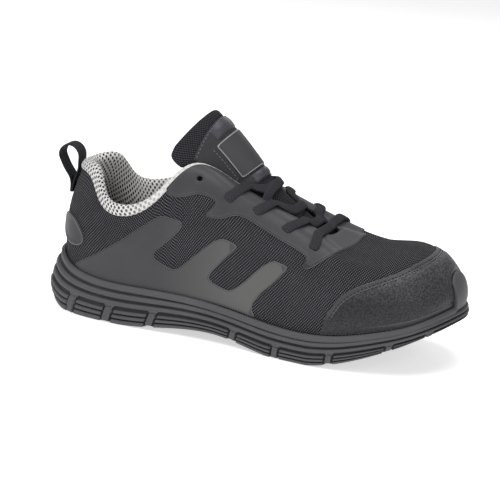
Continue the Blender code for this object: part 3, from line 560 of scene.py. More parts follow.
def mesh_object(name, points, faces, finishes, marks):
    """A smooth mesh facing out; marks are the three numbers for each point that its material reads."""
    points = np.asarray(points, float) + SHIFT
    mesh = bpy.data.meshes.new(name)
    mesh.from_pydata(points.tolist(), [], [tuple(map(int, face)) for face in faces])
    corners = np.array([[face[0], face[1], face[2]] for face in faces])
    middle = points.mean(axis=0)
    volume = np.linalg.det((points - middle)[corners]).sum()
    if volume < 0:
        mesh.flip_normals()
    if marks is not None:
        layer = mesh.attributes.new("place", "FLOAT_VECTOR", "POINT")
        layer.data.foreach_set("vector", np.asarray(marks, np.float32).reshape(-1))
    for finish in finishes:
        mesh.materials.append(finish)
    mesh.shade_smooth()
    mesh.update()
    obj = bpy.data.objects.new(name, mesh)
    bpy.context.scene.collection.objects.link(obj)
    return obj


def piece(name, points, faces, finish, marks=None, stands_for=()):
    """A mesh on the part's one body, with the solids that it stands for."""
    finishes = finish if isinstance(finish, (list, tuple)) else [finish]
    obj = mesh_object(name, points, faces, finishes, marks)
    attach(obj, "root")
    if stands_for:
        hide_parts(*stands_for)
    return obj


def sheet_faces(rows, columns, rows_close, columns_close):
    """Quads between rows of points."""
    faces = []
    for r in range(rows if rows_close else rows - 1):
        s = (r + 1) % rows
        for c in range(columns if columns_close else columns - 1):
            d = (c + 1) % columns
            faces.append((r * columns + c, r * columns + d, s * columns + d, s * columns + c))
    return faces


# The eyelets on one side, from the top one forwards
EYELET_SPOTS = ((0.222, 0.857), (0.240, 0.647), (0.272, 0.689), (0.305, 0.697), (0.332, 0.642))
HOLE = 1.9 * MM
# How far the cloth is pressed in under an eyelet
WELL = 0.9 * MM


def upper_shell():
    """Fabric shell, closed over its edge, with its lining face."""
    around = np.linspace(0, 1, 561)
    outer = np.linspace(0, 1, 76)
    path = [(w, 0.0) for w in outer[:-1]]
    for turn in np.linspace(0, math.pi, 7):
        path.append((1 - 0.012 * (1 - math.sin(turn)), WALL / 2 * (math.cos(turn) - 1)))
    path += [(w, -WALL) for w in np.linspace(0.96, 0, 16)]
    columns = len(path)
    w = np.tile([step[0] for step in path], len(around))
    out = np.tile([step[1] for step in path], len(around))
    u = np.repeat(around, columns)
    points = skin(u, w, out)
    dark = np.zeros(len(u))
    for spot_u, spot_w in EYELET_SPOTS:
        for hand in (spot_u, 1 - spot_u):
            centre = skin([hand], [spot_w], 0.0)[0]
            away = np.linalg.norm(points - centre, axis=1)
            dark = np.maximum(dark, 1 - smooth_step(away, HOLE * 0.95, HOLE * 1.35))
    dark[out < -0.1 * MM] = 0
    sunk = skin(u, w, out - WELL)
    points += (sunk - points) * dark[:, None]
    inside = np.array([step[1] < -0.6 * WALL for step in path])
    cloth = cloth_place(np.clip(u, 1e-6, 1 - 1e-6), w)
    # The third mark falls to 0 at the eyelet holes, where the cloth gets painted shade: near-black, standing
    # for the dark inside of the holes.
    marks = np.column_stack([cloth, 50 - 50 * dark])
    faces = sheet_faces(len(around), columns, False, True)
    obj = piece("upper_shell", points, faces, [MESH_CLOTH, LINING_CLOTH], marks, ["upper"])
    within = np.tile(inside, len(around) - 1)
    obj.data.polygons.foreach_set("material_index", within.astype(np.int32))
    return obj


def rounded(corners, radius, closed=True):
    """The outline with its corners rounded: gently turning ones as far as their lines allow,
    sharp ones by the given radius. Shares are drawn out to about millimetres meanwhile."""
    scale = np.array([ROUND_MM, UP_MM])
    flat = np.array(corners) * scale
    count = len(flat)
    outline = []
    for i in range(count):
        here = flat[i]
        if not closed and i in (0, count - 1):
            outline.append(here)
            continue
        back = flat[i - 1] - here
        ahead = flat[(i + 1) % count] - here
        near = np.linalg.norm(back)
        far = np.linalg.norm(ahead)
        cosine = np.clip(-(back @ ahead) / (near * far), -1, 1)
        turn = math.degrees(math.acos(cosine))
        reach = 0.5 * min(near, far)
        if turn > 40:
            reach = min(reach, radius)
        start = here + back / near * reach
        end = here + ahead / far * reach
        steps = max(2, math.ceil(turn / 7))
        for t in np.linspace(0, 1, steps + 1):
            outline.append((1 - t) ** 2 * start + 2 * t * (1 - t) * here + t**2 * end)
    return np.array(outline) / scale


def spaced(outline, place, step):
    """The closed outline at even real steps."""
    closed = np.vstack([outline, outline[:1]])
    real = place(closed[:, 0], closed[:, 1], 0.0)
    lengths = lengths_along(real)
    keep = np.concatenate([[True], np.diff(lengths) > 1e-7])
    count = max(12, round(lengths[-1] / step))
    spots = np.linspace(0, lengths[-1], count, endpoint=False)
    return np.stack([np.interp(spots, lengths[keep], closed[keep, axis]) for axis in (0, 1)], 1)


def moved_in(outline, place, distance, closed=True):
    """The outline moved to its left over the surface by a real distance."""
    if closed:
        ahead = np.roll(outline, -1, axis=0) - np.roll(outline, 1, axis=0)
    else:
        ahead = np.gradient(outline, axis=0)
    a, b = outline[:, 0], outline[:, 1]
    by_a = (place(a + FINE_STEP, b, 0.0) - place(a - FINE_STEP, b, 0.0)) / (2 * FINE_STEP)
    by_b = (place(a, b + FINE_STEP, 0.0) - place(a, b - FINE_STEP, 0.0)) / (2 * FINE_STEP)
    run = by_a * ahead[:, :1] + by_b * ahead[:, 1:]
    run /= np.linalg.norm(run, axis=1)[:, None]
    face = np.cross(by_a, by_b)
    face /= np.linalg.norm(face, axis=1)[:, None]
    left = np.cross(face, run)
    aa = np.einsum("ij,ij->i", by_a, by_a)
    ab = np.einsum("ij,ij->i", by_a, by_b)
    bb = np.einsum("ij,ij->i", by_b, by_b)
    la = np.einsum("ij,ij->i", left, by_a)
    lb = np.einsum("ij,ij->i", left, by_b)
    whole = aa * bb - ab * ab
    step = np.stack([(la * bb - lb * ab) / whole, (lb * aa - la * ab) / whole], 1)
    return outline + step * distance


def turns_left(outline):
    """The outline in the order that has its inside on the left."""
    x, y = outline[:, 0], outline[:, 1]
    area = np.sum(x * np.roll(y, -1) - np.roll(x, -1) * y)
    return outline if area > 0 else outline[::-1]


def inside_outline(points, outline):
    """Which flat points lie inside a closed outline."""
    inside = np.zeros(len(points), bool)
    x, y = points[:, 0], points[:, 1]
    for (x0, y0), (x1, y1) in zip(outline, np.roll(outline, -1, axis=0)):
        crosses = (y0 > y) != (y1 > y)
        with np.errstate(divide="ignore", invalid="ignore"):
            spot = (x1 - x0) * (y - y0) / (y1 - y0) + x0
        inside ^= crosses & (x < spot)
    return inside


def nearest(points, line):
    """Real distance of each point from the nearest point of a dense line."""
    best = np.full(len(points), np.inf)
    for start in range(0, len(line), 64):
        some = line[start : start + 64]
        away = np.linalg.norm(points[:, None, :] - some[None, :, :], axis=2)
        best = np.minimum(best, away.min(axis=1))
    return best


def stretch(place, spot, axis, step):
    """Real length of a whole share along one axis, near a spot."""
    moved = spot.copy()
    moved[axis] += step
    gap = place(moved[:1], moved[1:], 0.0)[0] - place(spot[:1], spot[1:], 0.0)[0]
    return np.linalg.norm(gap) / step


def laid(place, spots, out=0.0):
    """Points of a face at rows of shares."""
    return place(spots[:, 0], spots[:, 1], out)


# Rings of points inside the edge of a plate and outside the edge of a hole, in millimetres
EDGE_RINGS = (0.0, 0.14, 0.4, 0.8)
HOLE_RINGS = (0.0, 0.25, 0.6)
HOLE_CORNERS = 28


def hole_edges(place, holes):
    """Rings round each hole, from its edge outwards."""
    turns = np.linspace(0, 2 * math.pi, HOLE_CORNERS, endpoint=False)
    round_one = np.stack([np.cos(turns), np.sin(turns)], 1)
    rings = []
    for centre, radius in holes:
        middle = np.array(centre)
        unit = np.array([stretch(place, middle, axis, FINE_STEP) for axis in (0, 1)])
        for more in HOLE_RINGS:
            rings.append(middle + round_one * (radius + more * MM) / unit)
    return rings


def plate_grid(outline, place, unit, grid, hole_rings):
    """Points inside a plate, clear of its edges."""
    low, high = outline.min(axis=0), outline.max(axis=0)
    counts = [max(3, int((high - low)[axis] * unit[axis] / (grid * MM))) for axis in (0, 1)]
    a, b = np.meshgrid(*(np.linspace(low[k], high[k], counts[k]) for k in (0, 1)))
    spots = np.stack([a.ravel(), b.ravel()], 1)
    spots = spots[inside_outline(spots, outline)]
    real = laid(place, spots)
    clear = nearest(real, laid(place, outline)) > 1.6 * MM
    for ring in hole_rings:
        clear &= nearest(real, laid(place, ring)) > 1.0 * MM
    return spots[clear]


def plate(name, outline, face, low, height, finish, slot, stands_for=(), holes=(), grid=2.4, step=1.1):
    """Closed plate over a curved face, with rounded edges and round holes. face gives its points
    and the place on its cloth; height gives the plate's top from the shares of its points and
    their real distance from the edge."""
    place, cloth = face
    outline = turns_left(spaced(outline, place, step * MM))
    rings = [moved_in(outline, place, inset * MM) for inset in EDGE_RINGS]
    hole_rings = hole_edges(place, holes)
    cut_out = hole_rings[:: len(HOLE_RINGS)]
    middle = (outline.min(axis=0) + outline.max(axis=0)) / 2
    unit = [stretch(place, middle, axis, STEP) for axis in (0, 1)]
    flat = []
    edges = []
    for ring in rings + hole_rings:
        start = len(flat)
        flat += list(ring)
        edges += [(start + k, start + (k + 1) % len(ring)) for k in range(len(ring))]
    flat += list(plate_grid(outline, place, unit, grid, hole_rings))
    drawn = [Vector((p[0] * unit[0] / MM, p[1] * unit[1] / MM)) for p in flat]
    verts, _, faces, _, _, _ = delaunay_2d_cdt(drawn, edges, [], 1, 1e-4)
    shares = np.array([(vert.x * MM / unit[0], vert.y * MM / unit[1]) for vert in verts])
    faces = np.array(faces)
    middles = shares[faces].mean(axis=1)
    keep = np.ones(len(faces), bool)
    for ring in cut_out:
        keep &= ~inside_outline(middles, ring)
    faces = faces[keep]
    surface = laid(place, shares)
    lines = []
    for ring in [outline] + cut_out:
        line = laid(place, ring)
        lines += [line + (np.roll(line, -1, axis=0) - line) * k / 5 for k in range(5)]
    rim = nearest(surface, np.vstack(lines))
    edge_away = nearest(surface, np.vstack(lines[:5]))
    for away in (rim, edge_away):
        away[away < 0.06 * MM] = 0
    top = laid(place, shares, height(shares[:, 0], shares[:, 1], rim))
    bottom = laid(place, shares, np.full(len(shares), low))
    count = len(shares)
    sides = np.vstack([faces[:, [0, 1]], faces[:, [1, 2]], faces[:, [2, 0]]])
    known = {(int(i), int(j)) for i, j in sides}
    walls = [(i, j, j + count, i + count) for i, j in known if (j, i) not in known]
    whole = [tuple(face) for face in faces[:, ::-1]]
    whole += [tuple(face + count) for face in faces] + walls
    marks = np.column_stack([cloth(shares[:, 0], shares[:, 1]), edge_away / MM])
    marks = np.vstack([marks, marks])
    return piece(name, np.vstack([bottom, top]), whole, finish, marks, stands_for)


def rounded_top(thick, edge, breadth):
    """Height of a plate with rounded edges: edge at its rim, thick inside."""

    def height(a, b, rim):
        return edge + (thick - edge) * rounding(rim, breadth)

    return height


def mirrored(corners):
    """The same corners on the other side of the shoe, in the opposite order."""
    corners = np.array(corners)[::-1]
    return np.column_stack([1 - corners[:, 0], corners[:, 1]])


def under_rim(height):
    """The same height, held down to a thin sheet where the sole's rim grips it."""

    def thinned(a, b, rim):
        lip = np.interp(np.minimum(a % 1.0, 1 - a % 1.0), LIP_AROUND, LIP_UP)
        share = smooth_step(b, lip + 0.004, lip + 0.030)
        return GRIPPED + (height(a, b, rim) - GRIPPED) * share

    return thinned


GRIPPED = 0.35 * MM


def overlays():
    """What lies on the fabric: quarter films, eyestay, toe cap and heel badge."""
    face = (skin, cloth_place)
    quarter = rounded(QUARTER_OVERLAY, 2.2)
    for name, outline in (("outer", quarter), ("inner", mirrored(quarter)[::-1])):
        top = under_rim(rounded_top(0.75 * MM, 0.25 * MM, 0.7 * MM))
        solid = f"quarter_overlay_{name}"
        plate(f"quarter_film_{name}", outline, face, -0.5 * MM, top, QUARTER_FILM, "quarter_film", [solid])
    holes = [((hand, w), HOLE) for u, w in EYELET_SPOTS for hand in (u, 1 - u)]
    outline = eyestay_outline()
    top = eyestay_height
    plate("eyestay_film", outline, face, -0.5 * MM, top, STAY_FILM, "overlay_film", ["eyestay"], holes)
    outline = toe_cap_outline()
    top = under_rim(toe_cap_height)
    fine = {"grid": 1.8, "step": 1.0}
    plate("toe_cap_leather", outline, face, -0.6 * MM, top, LEATHER, "toe_leather", ["toe_cap"], **fine)
    turns = np.linspace(0, 2 * math.pi, 60, endpoint=False)
    oval = np.array(BADGE_SPOT) + np.array(BADGE_HALF) * np.stack([np.cos(turns), np.sin(turns)], 1)
    fine = {"grid": 1.6}
    top = badge_height
    plate("heel_badge_plate", oval, face, -0.5 * MM, top, BADGE, "heel_badge", ["heel_badge"], **fine)


def eyestay_outline():
    """Down one side, across the vamp, up the other side and back along the opening, where a
    strip of lining shows above it."""
    half = np.linspace(0.1926, 0.5, 60)
    strip = np.where(half < 0.284, 1.6 * MM, 1.0 * MM)
    edge = np.stack([half, 1 - strip / edge_reach(half)], 1)
    side = rounded(EYESTAY_LOWER, 2.6, closed=False)
    return np.vstack([side, mirrored(side)[1:], mirrored(edge)[::-1], edge[::-1][1:]])


def eyestay_height(a, b, rim):
    """Pressed film with a groove just inside its edge."""
    height = 0.30 * MM + 0.80 * MM * rounding(rim, 0.6 * MM)
    return height - 0.30 * MM * np.exp(-(((rim - 1.5 * MM) / (0.42 * MM)) ** 2))


def toe_cap_seam():
    """Edge of the cap over the shoe, from side to side."""
    return rounded(np.vstack([TOE_CAP_SEAM, mirrored(TOE_CAP_SEAM)]), 3.0, closed=False)


def toe_cap_outline():
    """Along the seam and back along the foot of the cap, under the sole's rim."""
    first, low = TOE_CAP_SEAM[0]
    foot = np.linspace(1 - first, first, 90)[1:-1]
    return np.vstack([toe_cap_seam(), np.column_stack([foot, np.full(len(foot), low)])])


def toe_cap_height(a, b, rim):
    """Thin border, two sunk rows of stitches and the leather swelling up behind them."""
    height = 0.35 * MM + 0.55 * MM * rounding(rim, 0.7 * MM)
    height += 0.95 * MM * smooth_step(rim, 3.6 * MM, 8.0 * MM)
    for row in STITCH_ROWS:
        height -= 0.30 * MM * np.exp(-(((rim - row * MM) / (0.50 * MM)) ** 2))
    return height


def badge_height(a, b, rim):
    """Raised border round a sunk face."""
    height = 0.3 * MM + 1.3 * MM * rounding(rim, 0.8 * MM)
    return height - 0.6 * MM * smooth_step(rim, 1.3 * MM, 1.9 * MM)


LINING_REACH = 0.290
LINING_LOW = 0.50
LINING_PAD = 6.0 * MM
# How far the lining comes down over the outside, in millimetres, from the heel forwards
LINING_BAND = (
    (0, 3.0), (0.025, 4.2), (0.05, 6.2), (0.09, 6.0), (0.13, 5.0), (0.17, 3.8), (0.21, 2.8), (0.25, 2.0),
    (0.29, 1.6),
)
# The lining over the outside: share of that way down, distance out
LINING_ROLL = ((-1.0, 0.10), (-0.96, 0.50), (-0.85, 0.85), (-0.60, 1.05), (-0.30, 1.10), (0.0, 1.0))


def collar_lining():
    """Padded lining of the collar, rolled over its edge."""
    around = np.linspace(-LINING_REACH, LINING_REACH, 421)
    away = np.abs(around)
    reach = edge_reach(around)
    ends = smooth_step(LINING_REACH - away, 0.0, 0.012)
    deep = smooth_step(0.21 - away, 0.0, 0.10)
    band = np.interp(away, *np.array(LINING_BAND).T) * MM
    puff = 1 + 0.8 * deep
    rows = []
    for up, out in LINING_ROLL:
        rows.append((1 + up * band / reach, out * puff * MM * ends - 0.2 * MM * (1 - ends)))
    for turn in np.linspace(20, 160, 10):
        angle = math.radians(turn)
        thick = (WALL + puff * MM + 3.6 * MM * deep) / 2
        high = 1.1 * MM + 2.2 * MM * deep
        middle = puff * MM - thick
        rows.append((1 + high * math.sin(angle) * ends / reach, middle + thick * math.cos(angle)))
    for share in np.linspace(0, 1, 30):
        w = 1.0 - share * (1 - LINING_LOW)
        swell = math.sin(math.pi * min(share * 0.80 + 0.16, 1.0)) ** 0.8
        depth = WALL + 1.3 * MM + (LINING_PAD - 1.3 * MM) * swell * (0.25 + 0.75 * deep)
        rows.append((np.full(len(around), w), -depth))
    rows.append((np.full(len(around), LINING_LOW), np.full(len(around), -WALL / 2)))
    rows.append((1 - 0.5 * band / reach, np.full(len(around), -WALL / 2)))
    points = np.concatenate([skin(around, w, out) for w, out in rows])
    lengths = np.zeros((len(rows), len(around)))
    grid = points.reshape(len(rows), len(around), 3)
    lengths[1:] = np.cumsum(np.linalg.norm(np.diff(grid, axis=0), axis=2), axis=0)
    along = cloth_place(np.abs(around), np.full(len(around), 0.9))[:, 0]
    thin = np.tile(0.85 * (1 - deep), len(rows))
    marks = np.column_stack([np.tile(along, len(rows)), lengths.ravel() / MM, thin])
    columns = len(around)
    faces = sheet_faces(len(rows), columns, True, False)
    faces.append(tuple(k * columns for k in range(len(rows))))
    faces.append(tuple(k * columns + columns - 1 for k in range(len(rows)))[::-1])
    obj = piece("collar_padding", points, faces, LINING_CLOTH, marks, ["collar_lining"])


def tongue_swell(s, t):
    """Padding of the tongue between its sewn lines."""
    swell = np.zeros(len(s))
    for line in (PANEL_FOOT, *SEWN_LINES, panel_top(t)):
        trough = np.exp(-(((s - line) / 0.009) ** 2))
        swell -= 0.6 * MM * trough * smooth_step(-np.abs(t), -1.0, -0.8)
    return swell


def tongue_top(s, t, out):
    """As tongue_point, with the padding."""
    s = np.asarray(s, float)
    t = np.asarray(t, float)
    return tongue_point(s, t, np.reshape(out, -1) + tongue_swell(s, t))


def tongue_cloth(s, t):
    """Millimetres along and across the tongue."""
    spots = np.linspace(0, 1, 60)
    crest = on_tongue(spots, np.zeros(60))
    lengths = lengths_along(crest)
    half = spline_rows(TONGUE_CREST, s)[:, 3] * TONGUE_BEND / math.sin(TONGUE_BEND)
    return np.stack([t * half * 1.05, np.interp(s, spots, lengths)], 1) / MM


def tongue_pad():
    """Padded tongue, its corners and edges rounded."""
    along = np.concatenate([np.linspace(0, 0.95, 120), np.linspace(0.953, 1, 22)])
    across = np.sin(np.linspace(-math.pi / 2, math.pi / 2, 111))
    s, t = (grid.ravel() for grid in np.meshgrid(along, across, indexing="ij"))
    row = spline_rows(TONGUE_CREST, s)
    length = np.linalg.norm(on_tongue([1.0], [0.0])[0] - on_tongue([0.9], [0.0])[0]) * 10
    ahead = (1 - s) * length
    narrowed = 1 - 0.10 * (1 - rounding(ahead, 5 * MM))
    reach = np.interp(s, *np.array(TONGUE_REACH).T)
    wide = t * reach * narrowed
    arc = row[:, 3] * TONGUE_BEND * reach
    edge = np.minimum((1 - np.abs(t)) * arc, np.minimum(ahead, s * length))
    round_off = rounding(edge, 3.5 * MM)
    thick = row[:, 5] * (1 - 0.45 * np.abs(t) ** 3)
    upper_out = -thick / 2 + thick / 2 * round_off
    lower_out = -thick / 2 - thick / 2 * round_off
    high = tongue_point(s, wide, upper_out + tongue_swell(s, wide) * round_off)
    low = tongue_point(s, wide, lower_out)
    count = len(s)
    quads = sheet_faces(len(along), len(across), False, False)
    faces = quads + [tuple(i + count for i in quad[::-1]) for quad in quads]
    points = np.vstack([high, low])
    marks = np.vstack([np.column_stack([tongue_cloth(s, wide), edge / MM])] * 2)
    merged = {i + count: i for i in range(count) if round_off[i] == 0}
    faces = [tuple(merged.get(i, i) for i in face) for face in faces]
    cloths = [TONGUE_CLOTH, LINING_CLOTH]
    obj = piece("tongue_padding", points, faces, cloths, marks, ["tongue"])
    lower = np.repeat([0, 1], len(quads))
    obj.data.polygons.foreach_set("material_index", lower.astype(np.int32))


def box_outline(first, last, half, radius):
    """Rounded box on the tongue, as shares along and across it."""
    corners = ((first, -half), (last, -half), (last, half), (first, half))
    cloth = np.array([tongue_cloth(np.array([s]), np.array([t]))[0] for s, t in corners])
    outline = []
    for k in range(4):
        here = np.array(corners[k])
        ends = []
        for other in (k - 1, (k + 1) % 4):
            length = np.linalg.norm(cloth[k] - cloth[other])
            ends.append(here + (np.array(corners[other]) - here) * radius / length)
        for t in np.linspace(0, 1, 9):
            outline.append((1 - t) ** 2 * ends[0] + 2 * t * (1 - t) * here + t**2 * ends[1])
    return np.array(outline)


def panel_top(t):
    """The curved upper edge of the tongue's sewn panel."""
    return PANEL_TOP - 0.081 * np.abs(t / 0.942) ** 2.2


def sewn_strip(first, last, half):
    """Outline of a strip across the panel; the upper one follows the panel's edge."""
    across = np.linspace(-half, half, 30)
    top = np.minimum(last, panel_top(across) - 0.012)
    return np.vstack([np.column_stack([np.full(30, first), across]), np.column_stack([top, across])[::-1]])


def tongue_trim():
    """Sewn panel of the tongue, two smooth strips and the bare label between them."""
    across = np.linspace(-PANEL_SIDE, PANEL_SIDE, 60)
    foot = np.column_stack([np.full(60, PANEL_FOOT), across])
    top = np.column_stack([panel_top(across), across])[::-1]
    outline = np.vstack([foot, top])
    face = (tongue_top, tongue_cloth)
    high = rounded_top(0.7 * MM, 0.2 * MM, 0.6 * MM)
    slot = "strap_leather"
    fine = {"grid": 1.8}
    plate("tongue_panel", outline, face, -0.3 * MM, high, PANEL_CLOTH, slot, ["tongue_strap"], **fine)
    for name, ends in zip(("lower", "upper"), STRIPS):
        strip = sewn_strip(*ends)
        plate(f"tongue_strip_{name}", strip, face, 0.5 * MM, strip_height, SATIN, slot, grid=1.4)
    outline = box_outline(*LABEL_BOX, 2.0)
    high = label_height
    slot = "label_plate"
    plate("tongue_label_plate", outline, face, 0.5 * MM, high, LABEL, slot, ["tongue_label"], **fine)


def strip_height(a, b, rim):
    """Thin edge, then a soft swell."""
    height = 0.8 * MM + 0.3 * MM * rounding(rim, 0.5 * MM)
    return height + 0.5 * MM * smooth_step(rim, 1.2 * MM, 3.4 * MM)


def label_height(a, b, rim):
    """Flat plate with a fine ridge near its edge."""
    height = 0.8 * MM + 0.6 * MM * rounding(rim, 0.5 * MM)
    return height + 0.15 * MM * np.exp(-(((rim - 0.9 * MM) / (0.25 * MM)) ** 2))


def blurred(rows, kernel):
    """Rows averaged with their neighbours, drawn straight on past both ends."""
    reach = len(kernel) // 2
    ahead = 2 * rows[:1] - rows[reach:0:-1]
    after = 2 * rows[-1:] - rows[-2 : -reach - 2 : -1]
    padded = np.vstack([ahead, rows, after])
    columns = range(rows.shape[1])
    return np.stack([np.convolve(padded[:, k], kernel, "valid") for k in columns], 1)


def softened(keys, step, spread):
    """Dense rows along a line of keys, which start with a point, with its corners softened."""
    keys = np.array(keys, float)
    lengths = lengths_along(keys[:, :3])
    count = max(8, int(lengths[-1] / step))
    spots = np.linspace(0, lengths[-1], count)
    rows = np.stack([np.interp(spots, lengths, keys[:, k]) for k in range(keys.shape[1])], 1)
    reach = int(3 * spread / step)
    kernel = np.exp(-0.5 * (np.arange(-reach, reach + 1) * step / spread) ** 2)
    return blurred(rows, kernel / kernel.sum())


def swept(rows, corners, power):
    """Closed tube along rows of point, side, width and thickness."""
    line, side = rows[:, :3], rows[:, 3:6]
    ahead = np.gradient(line, axis=0)
    ahead /= np.linalg.norm(ahead, axis=1)[:, None]
    side = side - ahead * np.einsum("ij,ij->i", side, ahead)[:, None]
    side /= np.linalg.norm(side, axis=1)[:, None]
    face = np.cross(side, ahead)
    turns = np.linspace(0, 2 * math.pi, corners, endpoint=False)
    wide, high = (np.sign(f(turns)) * np.abs(f(turns)) ** power for f in (np.cos, np.sin))
    points = line[:, None, :] + side[:, None, :] * wide[None, :, None] * rows[:, None, 6:7] / 2
    points = points + face[:, None, :] * high[None, :, None] * rows[:, None, 7:8] / 2
    count = len(rows)
    faces = sheet_faces(count, corners, False, True)
    faces.append(tuple(range(corners))[::-1])
    faces.append(tuple((count - 1) * corners + k for k in range(corners)))
    marks = np.zeros((count, corners, 3))
    marks[:, :, 0] = lengths_along(line)[:, None] / MM
    marks[:, :, 1] = wide[None, :] * rows[:, 6:7] / 2 / MM
    marks[:, :, 2] = high[None, :]
    return points.reshape(-1, 3), faces, marks.reshape(-1, 3)


def joined(parts):
    """Several meshes as one."""
    points = []
    faces = []
    marks = []
    start = 0
    for some, quads, shares in parts:
        points.append(some)
        faces += [tuple(i + start for i in quad) for quad in quads]
        marks.append(shares)
        start += len(some)
    return np.vstack(points), faces, np.vstack(marks)


# Laced pairs from the top one to the front one: the eyelet, where the strand crosses the edge
# of the throat, where it crosses the tongue's middle, and where it goes under the other edge
LACED = (
    # eyelet, over the edge, crest, under the edge
    ((0.240, 0.647), (0.285, 1.000), 0.470, (0.303, 0.957)),
    ((0.272, 0.689), (0.311, 0.977), 0.312, (0.329, 0.985)),
    ((0.305, 0.697), (0.344, 0.985), 0.205, (0.354, 0.973)),
)
# The straight strand at the front, which runs from eyelet to eyelet over the crest
BAR = ((0.332, 0.642), (0.346, 0.850), 0.145)
# A strand from its eyelet to the throat: share of the way, then millimetres out, wide and thick
LACE_START = (
    # share, out, wide, thick
    (0.01, -1.6, 5.6, 2.8),
    (-0.05, 0.5, 6.6, 2.9),
    (0.07, 2.0, 6.8, 2.9),
    (0.45, 2.5, 6.8, 2.8),
    (0.80, 2.8, 6.8, 2.8),
    (1.00, 3.0, 6.8, 2.8),
)
LACE_WIDE = 6.8
LACE_THICK = 2.8
# Corners and squareness of its cross-section
LACE_SECTION = (20, 0.75)


def lace_keys(eyelet, over, crest, under, hand, lift):
    """Points of a strand with the way out of the face, its width and thickness."""
    points = []
    for share, out, wide, thick in LACE_START:
        u, w = (eyelet[k] + (over[k] - eyelet[k]) * share for k in (0, 1))
        points.append((*lace_spot(skin, u if hand < 0 else 1 - u, w, out), wide, thick))
    rest = 1.4 + lift
    crossing = [(crest + 0.008, 0.42 * hand, rest + 0.3), (crest, 0.0, rest)]
    if under:
        crossing.append((crest - 0.010, -0.42 * hand, rest * 0.5 + 0.5))
    for s, t, out in crossing:
        points.append((*lace_spot(tongue_point, s, t, out), LACE_WIDE, LACE_THICK))
    if under:
        for (u, w), out in ((under, -3.4), ((under[0] - 0.004, under[1] - 0.12), -4.2)):
            points.append((*lace_spot(skin, 1 - u if hand < 0 else u, w, out), LACE_WIDE, 2.2))
    return points


def lace_spot(place, a, b, out):
    """Point over a face and the way out of the face there."""
    low = place([a], [b], out * MM)[0]
    high = place([a], [b], (out + 1) * MM)[0]
    return low, (high - low) / MM


def lace_rows(points):
    """Dense rows of a strand: point, side, width and thickness."""
    line = np.array([point[0] for point in points])
    ahead = np.gradient(line, axis=0)
    ahead[:3] = line[4] - line[2]
    if np.linalg.norm(line[-1] - line[-2]) < 4.0 * MM:
        ahead[-3:] = line[-3] - line[-5]
    keys = []
    for k, (point, face, wide, thick) in enumerate(points):
        side = np.cross(ahead[k], face)
        side /= np.linalg.norm(side)
        keys.append(np.concatenate([point, side, [wide * MM, thick * MM]]))
    return softened(keys, 0.7 * MM, 1.4 * MM)


def laces():
    for k, (eyelet, over, crest, under) in enumerate(LACED):
        strands = []
        for hand in (-1, 1):
            lift = 2.4 if (hand > 0) == (k == 0) else 0.1
            keys = lace_keys(eyelet, over, crest, under, hand, lift)
            strands.append(swept(lace_rows(keys), *LACE_SECTION))
        points, faces, marks = joined(strands)
        piece(f"lace_pair_{k + 1}", points, faces, LACE_CLOTH, marks, [f"lace_cross_{k + 1}"])
    eyelet, over, crest = BAR
    half = lace_keys(eyelet, over, crest, None, -1, 3.2)
    other = lace_keys(eyelet, over, crest, None, 1, 3.2)[-2::-1]
    points, faces, marks = swept(lace_rows(half + other), *LACE_SECTION)
    piece("lace_front_bar", points, faces, LACE_CLOTH, marks, ["lace_bar"])


# Rows of stitches on the toe cap, in millimetres from its edge
STITCH_ROWS = (2.6, 4.3)
# Rows along the tongue's strips, and beside its label, in shares of the tongue
STRIP_SEAMS = (0.597, 0.794, 0.531)
LABEL_SEAM = 0.67

# Middle line of the heel loop from its sewn lower end, up round and down again, in millimetres
LOOP_LINE = (
    # at, height
    (11.0, 80.0), (11.2, 86.0), (10.0, 90.6), (7.4, 93.9), (4.9, 97.3), (2.9, 101.0), (0.7, 105.4),
    (1.4, 109.2), (4.1, 112.3), (7.6, 113.7), (10.9, 113.1), (13.6, 111.2), (15.6, 108.1),
    (16.0, 105.0), (15.8, 102.0), (16.0, 98.1), (15.0, 93.8), (13.2, 89.0), (12.2, 84.0),
    (11.8, 80.0),
)


def heel_loop():
    keys = [(x * MM, 0.0, z * MM, 0.0, 1.0, 0.0, LOOP_WIDTH, 1.5 * MM) for x, z in LOOP_LINE]
    rows = softened(keys, 0.6 * MM, 1.2 * MM)
    points, faces, marks = swept(rows, 26, 0.35)
    piece("heel_webbing", points, faces, WEBBING, marks, ["heel_loop"])


def floor_height(u):
    """Height of the cup's floor over the ground."""
    return SOLE(u)[:, 3] - CUP - GAP


def side_point(u, z, depth):
    """Points on the side of the sole at height z, moved in by depth."""
    here = SOLE(u)
    under = np.maximum(here[:, 2], 0)
    up = (z - under) / (here[:, 3] - under)
    low = np.clip(1 - up / 0.35, 0, 1)
    high = np.clip((up - 0.35) / 0.65, 0, 1)
    inset = here[:, 5] * low**2 + here[:, 4] * high**1.5 + depth
    flat = here[:, :2] + inset[:, None] * inward(u)
    return np.column_stack([flat, z])


def parting_height(u):
    under = np.maximum(SOLE(u)[:, 2], 0)
    return under + PARTING * (floor_height(u) - under)


def rim_share(u):
    """Share of the way up the upper at which the sole's rim ends."""
    w = np.linspace(0, 0.12, 33)
    grid = on_upper(np.repeat(u, 33), np.tile(w, len(u)))[:, 2].reshape(-1, 33)
    seat = SOLE(u)[:, 3]
    return np.array([np.interp(seat[k], grid[k], w) for k in range(len(u))])


def lip_share(u):
    """As rim_share, with the bumper standing up over the toe."""
    rim = rim_share(u)
    away = np.abs(np.atleast_1d(u) % 1.0 - 0.5)
    arch = np.sqrt(np.clip(1 - (away / BUMPER_HALF) ** 2, 0, 1))
    crown = BUMPER_SIDE + (BUMPER_TOP - BUMPER_SIDE) * arch
    edge = smooth_step(away, BUMPER_HALF, BUMPER_HALF + 1.4 * BUMPER_EDGE)
    return crown + (rim - crown) * edge


LIP_AROUND = np.linspace(0, 0.5, 301)
LIP_UP = lip_share(LIP_AROUND)


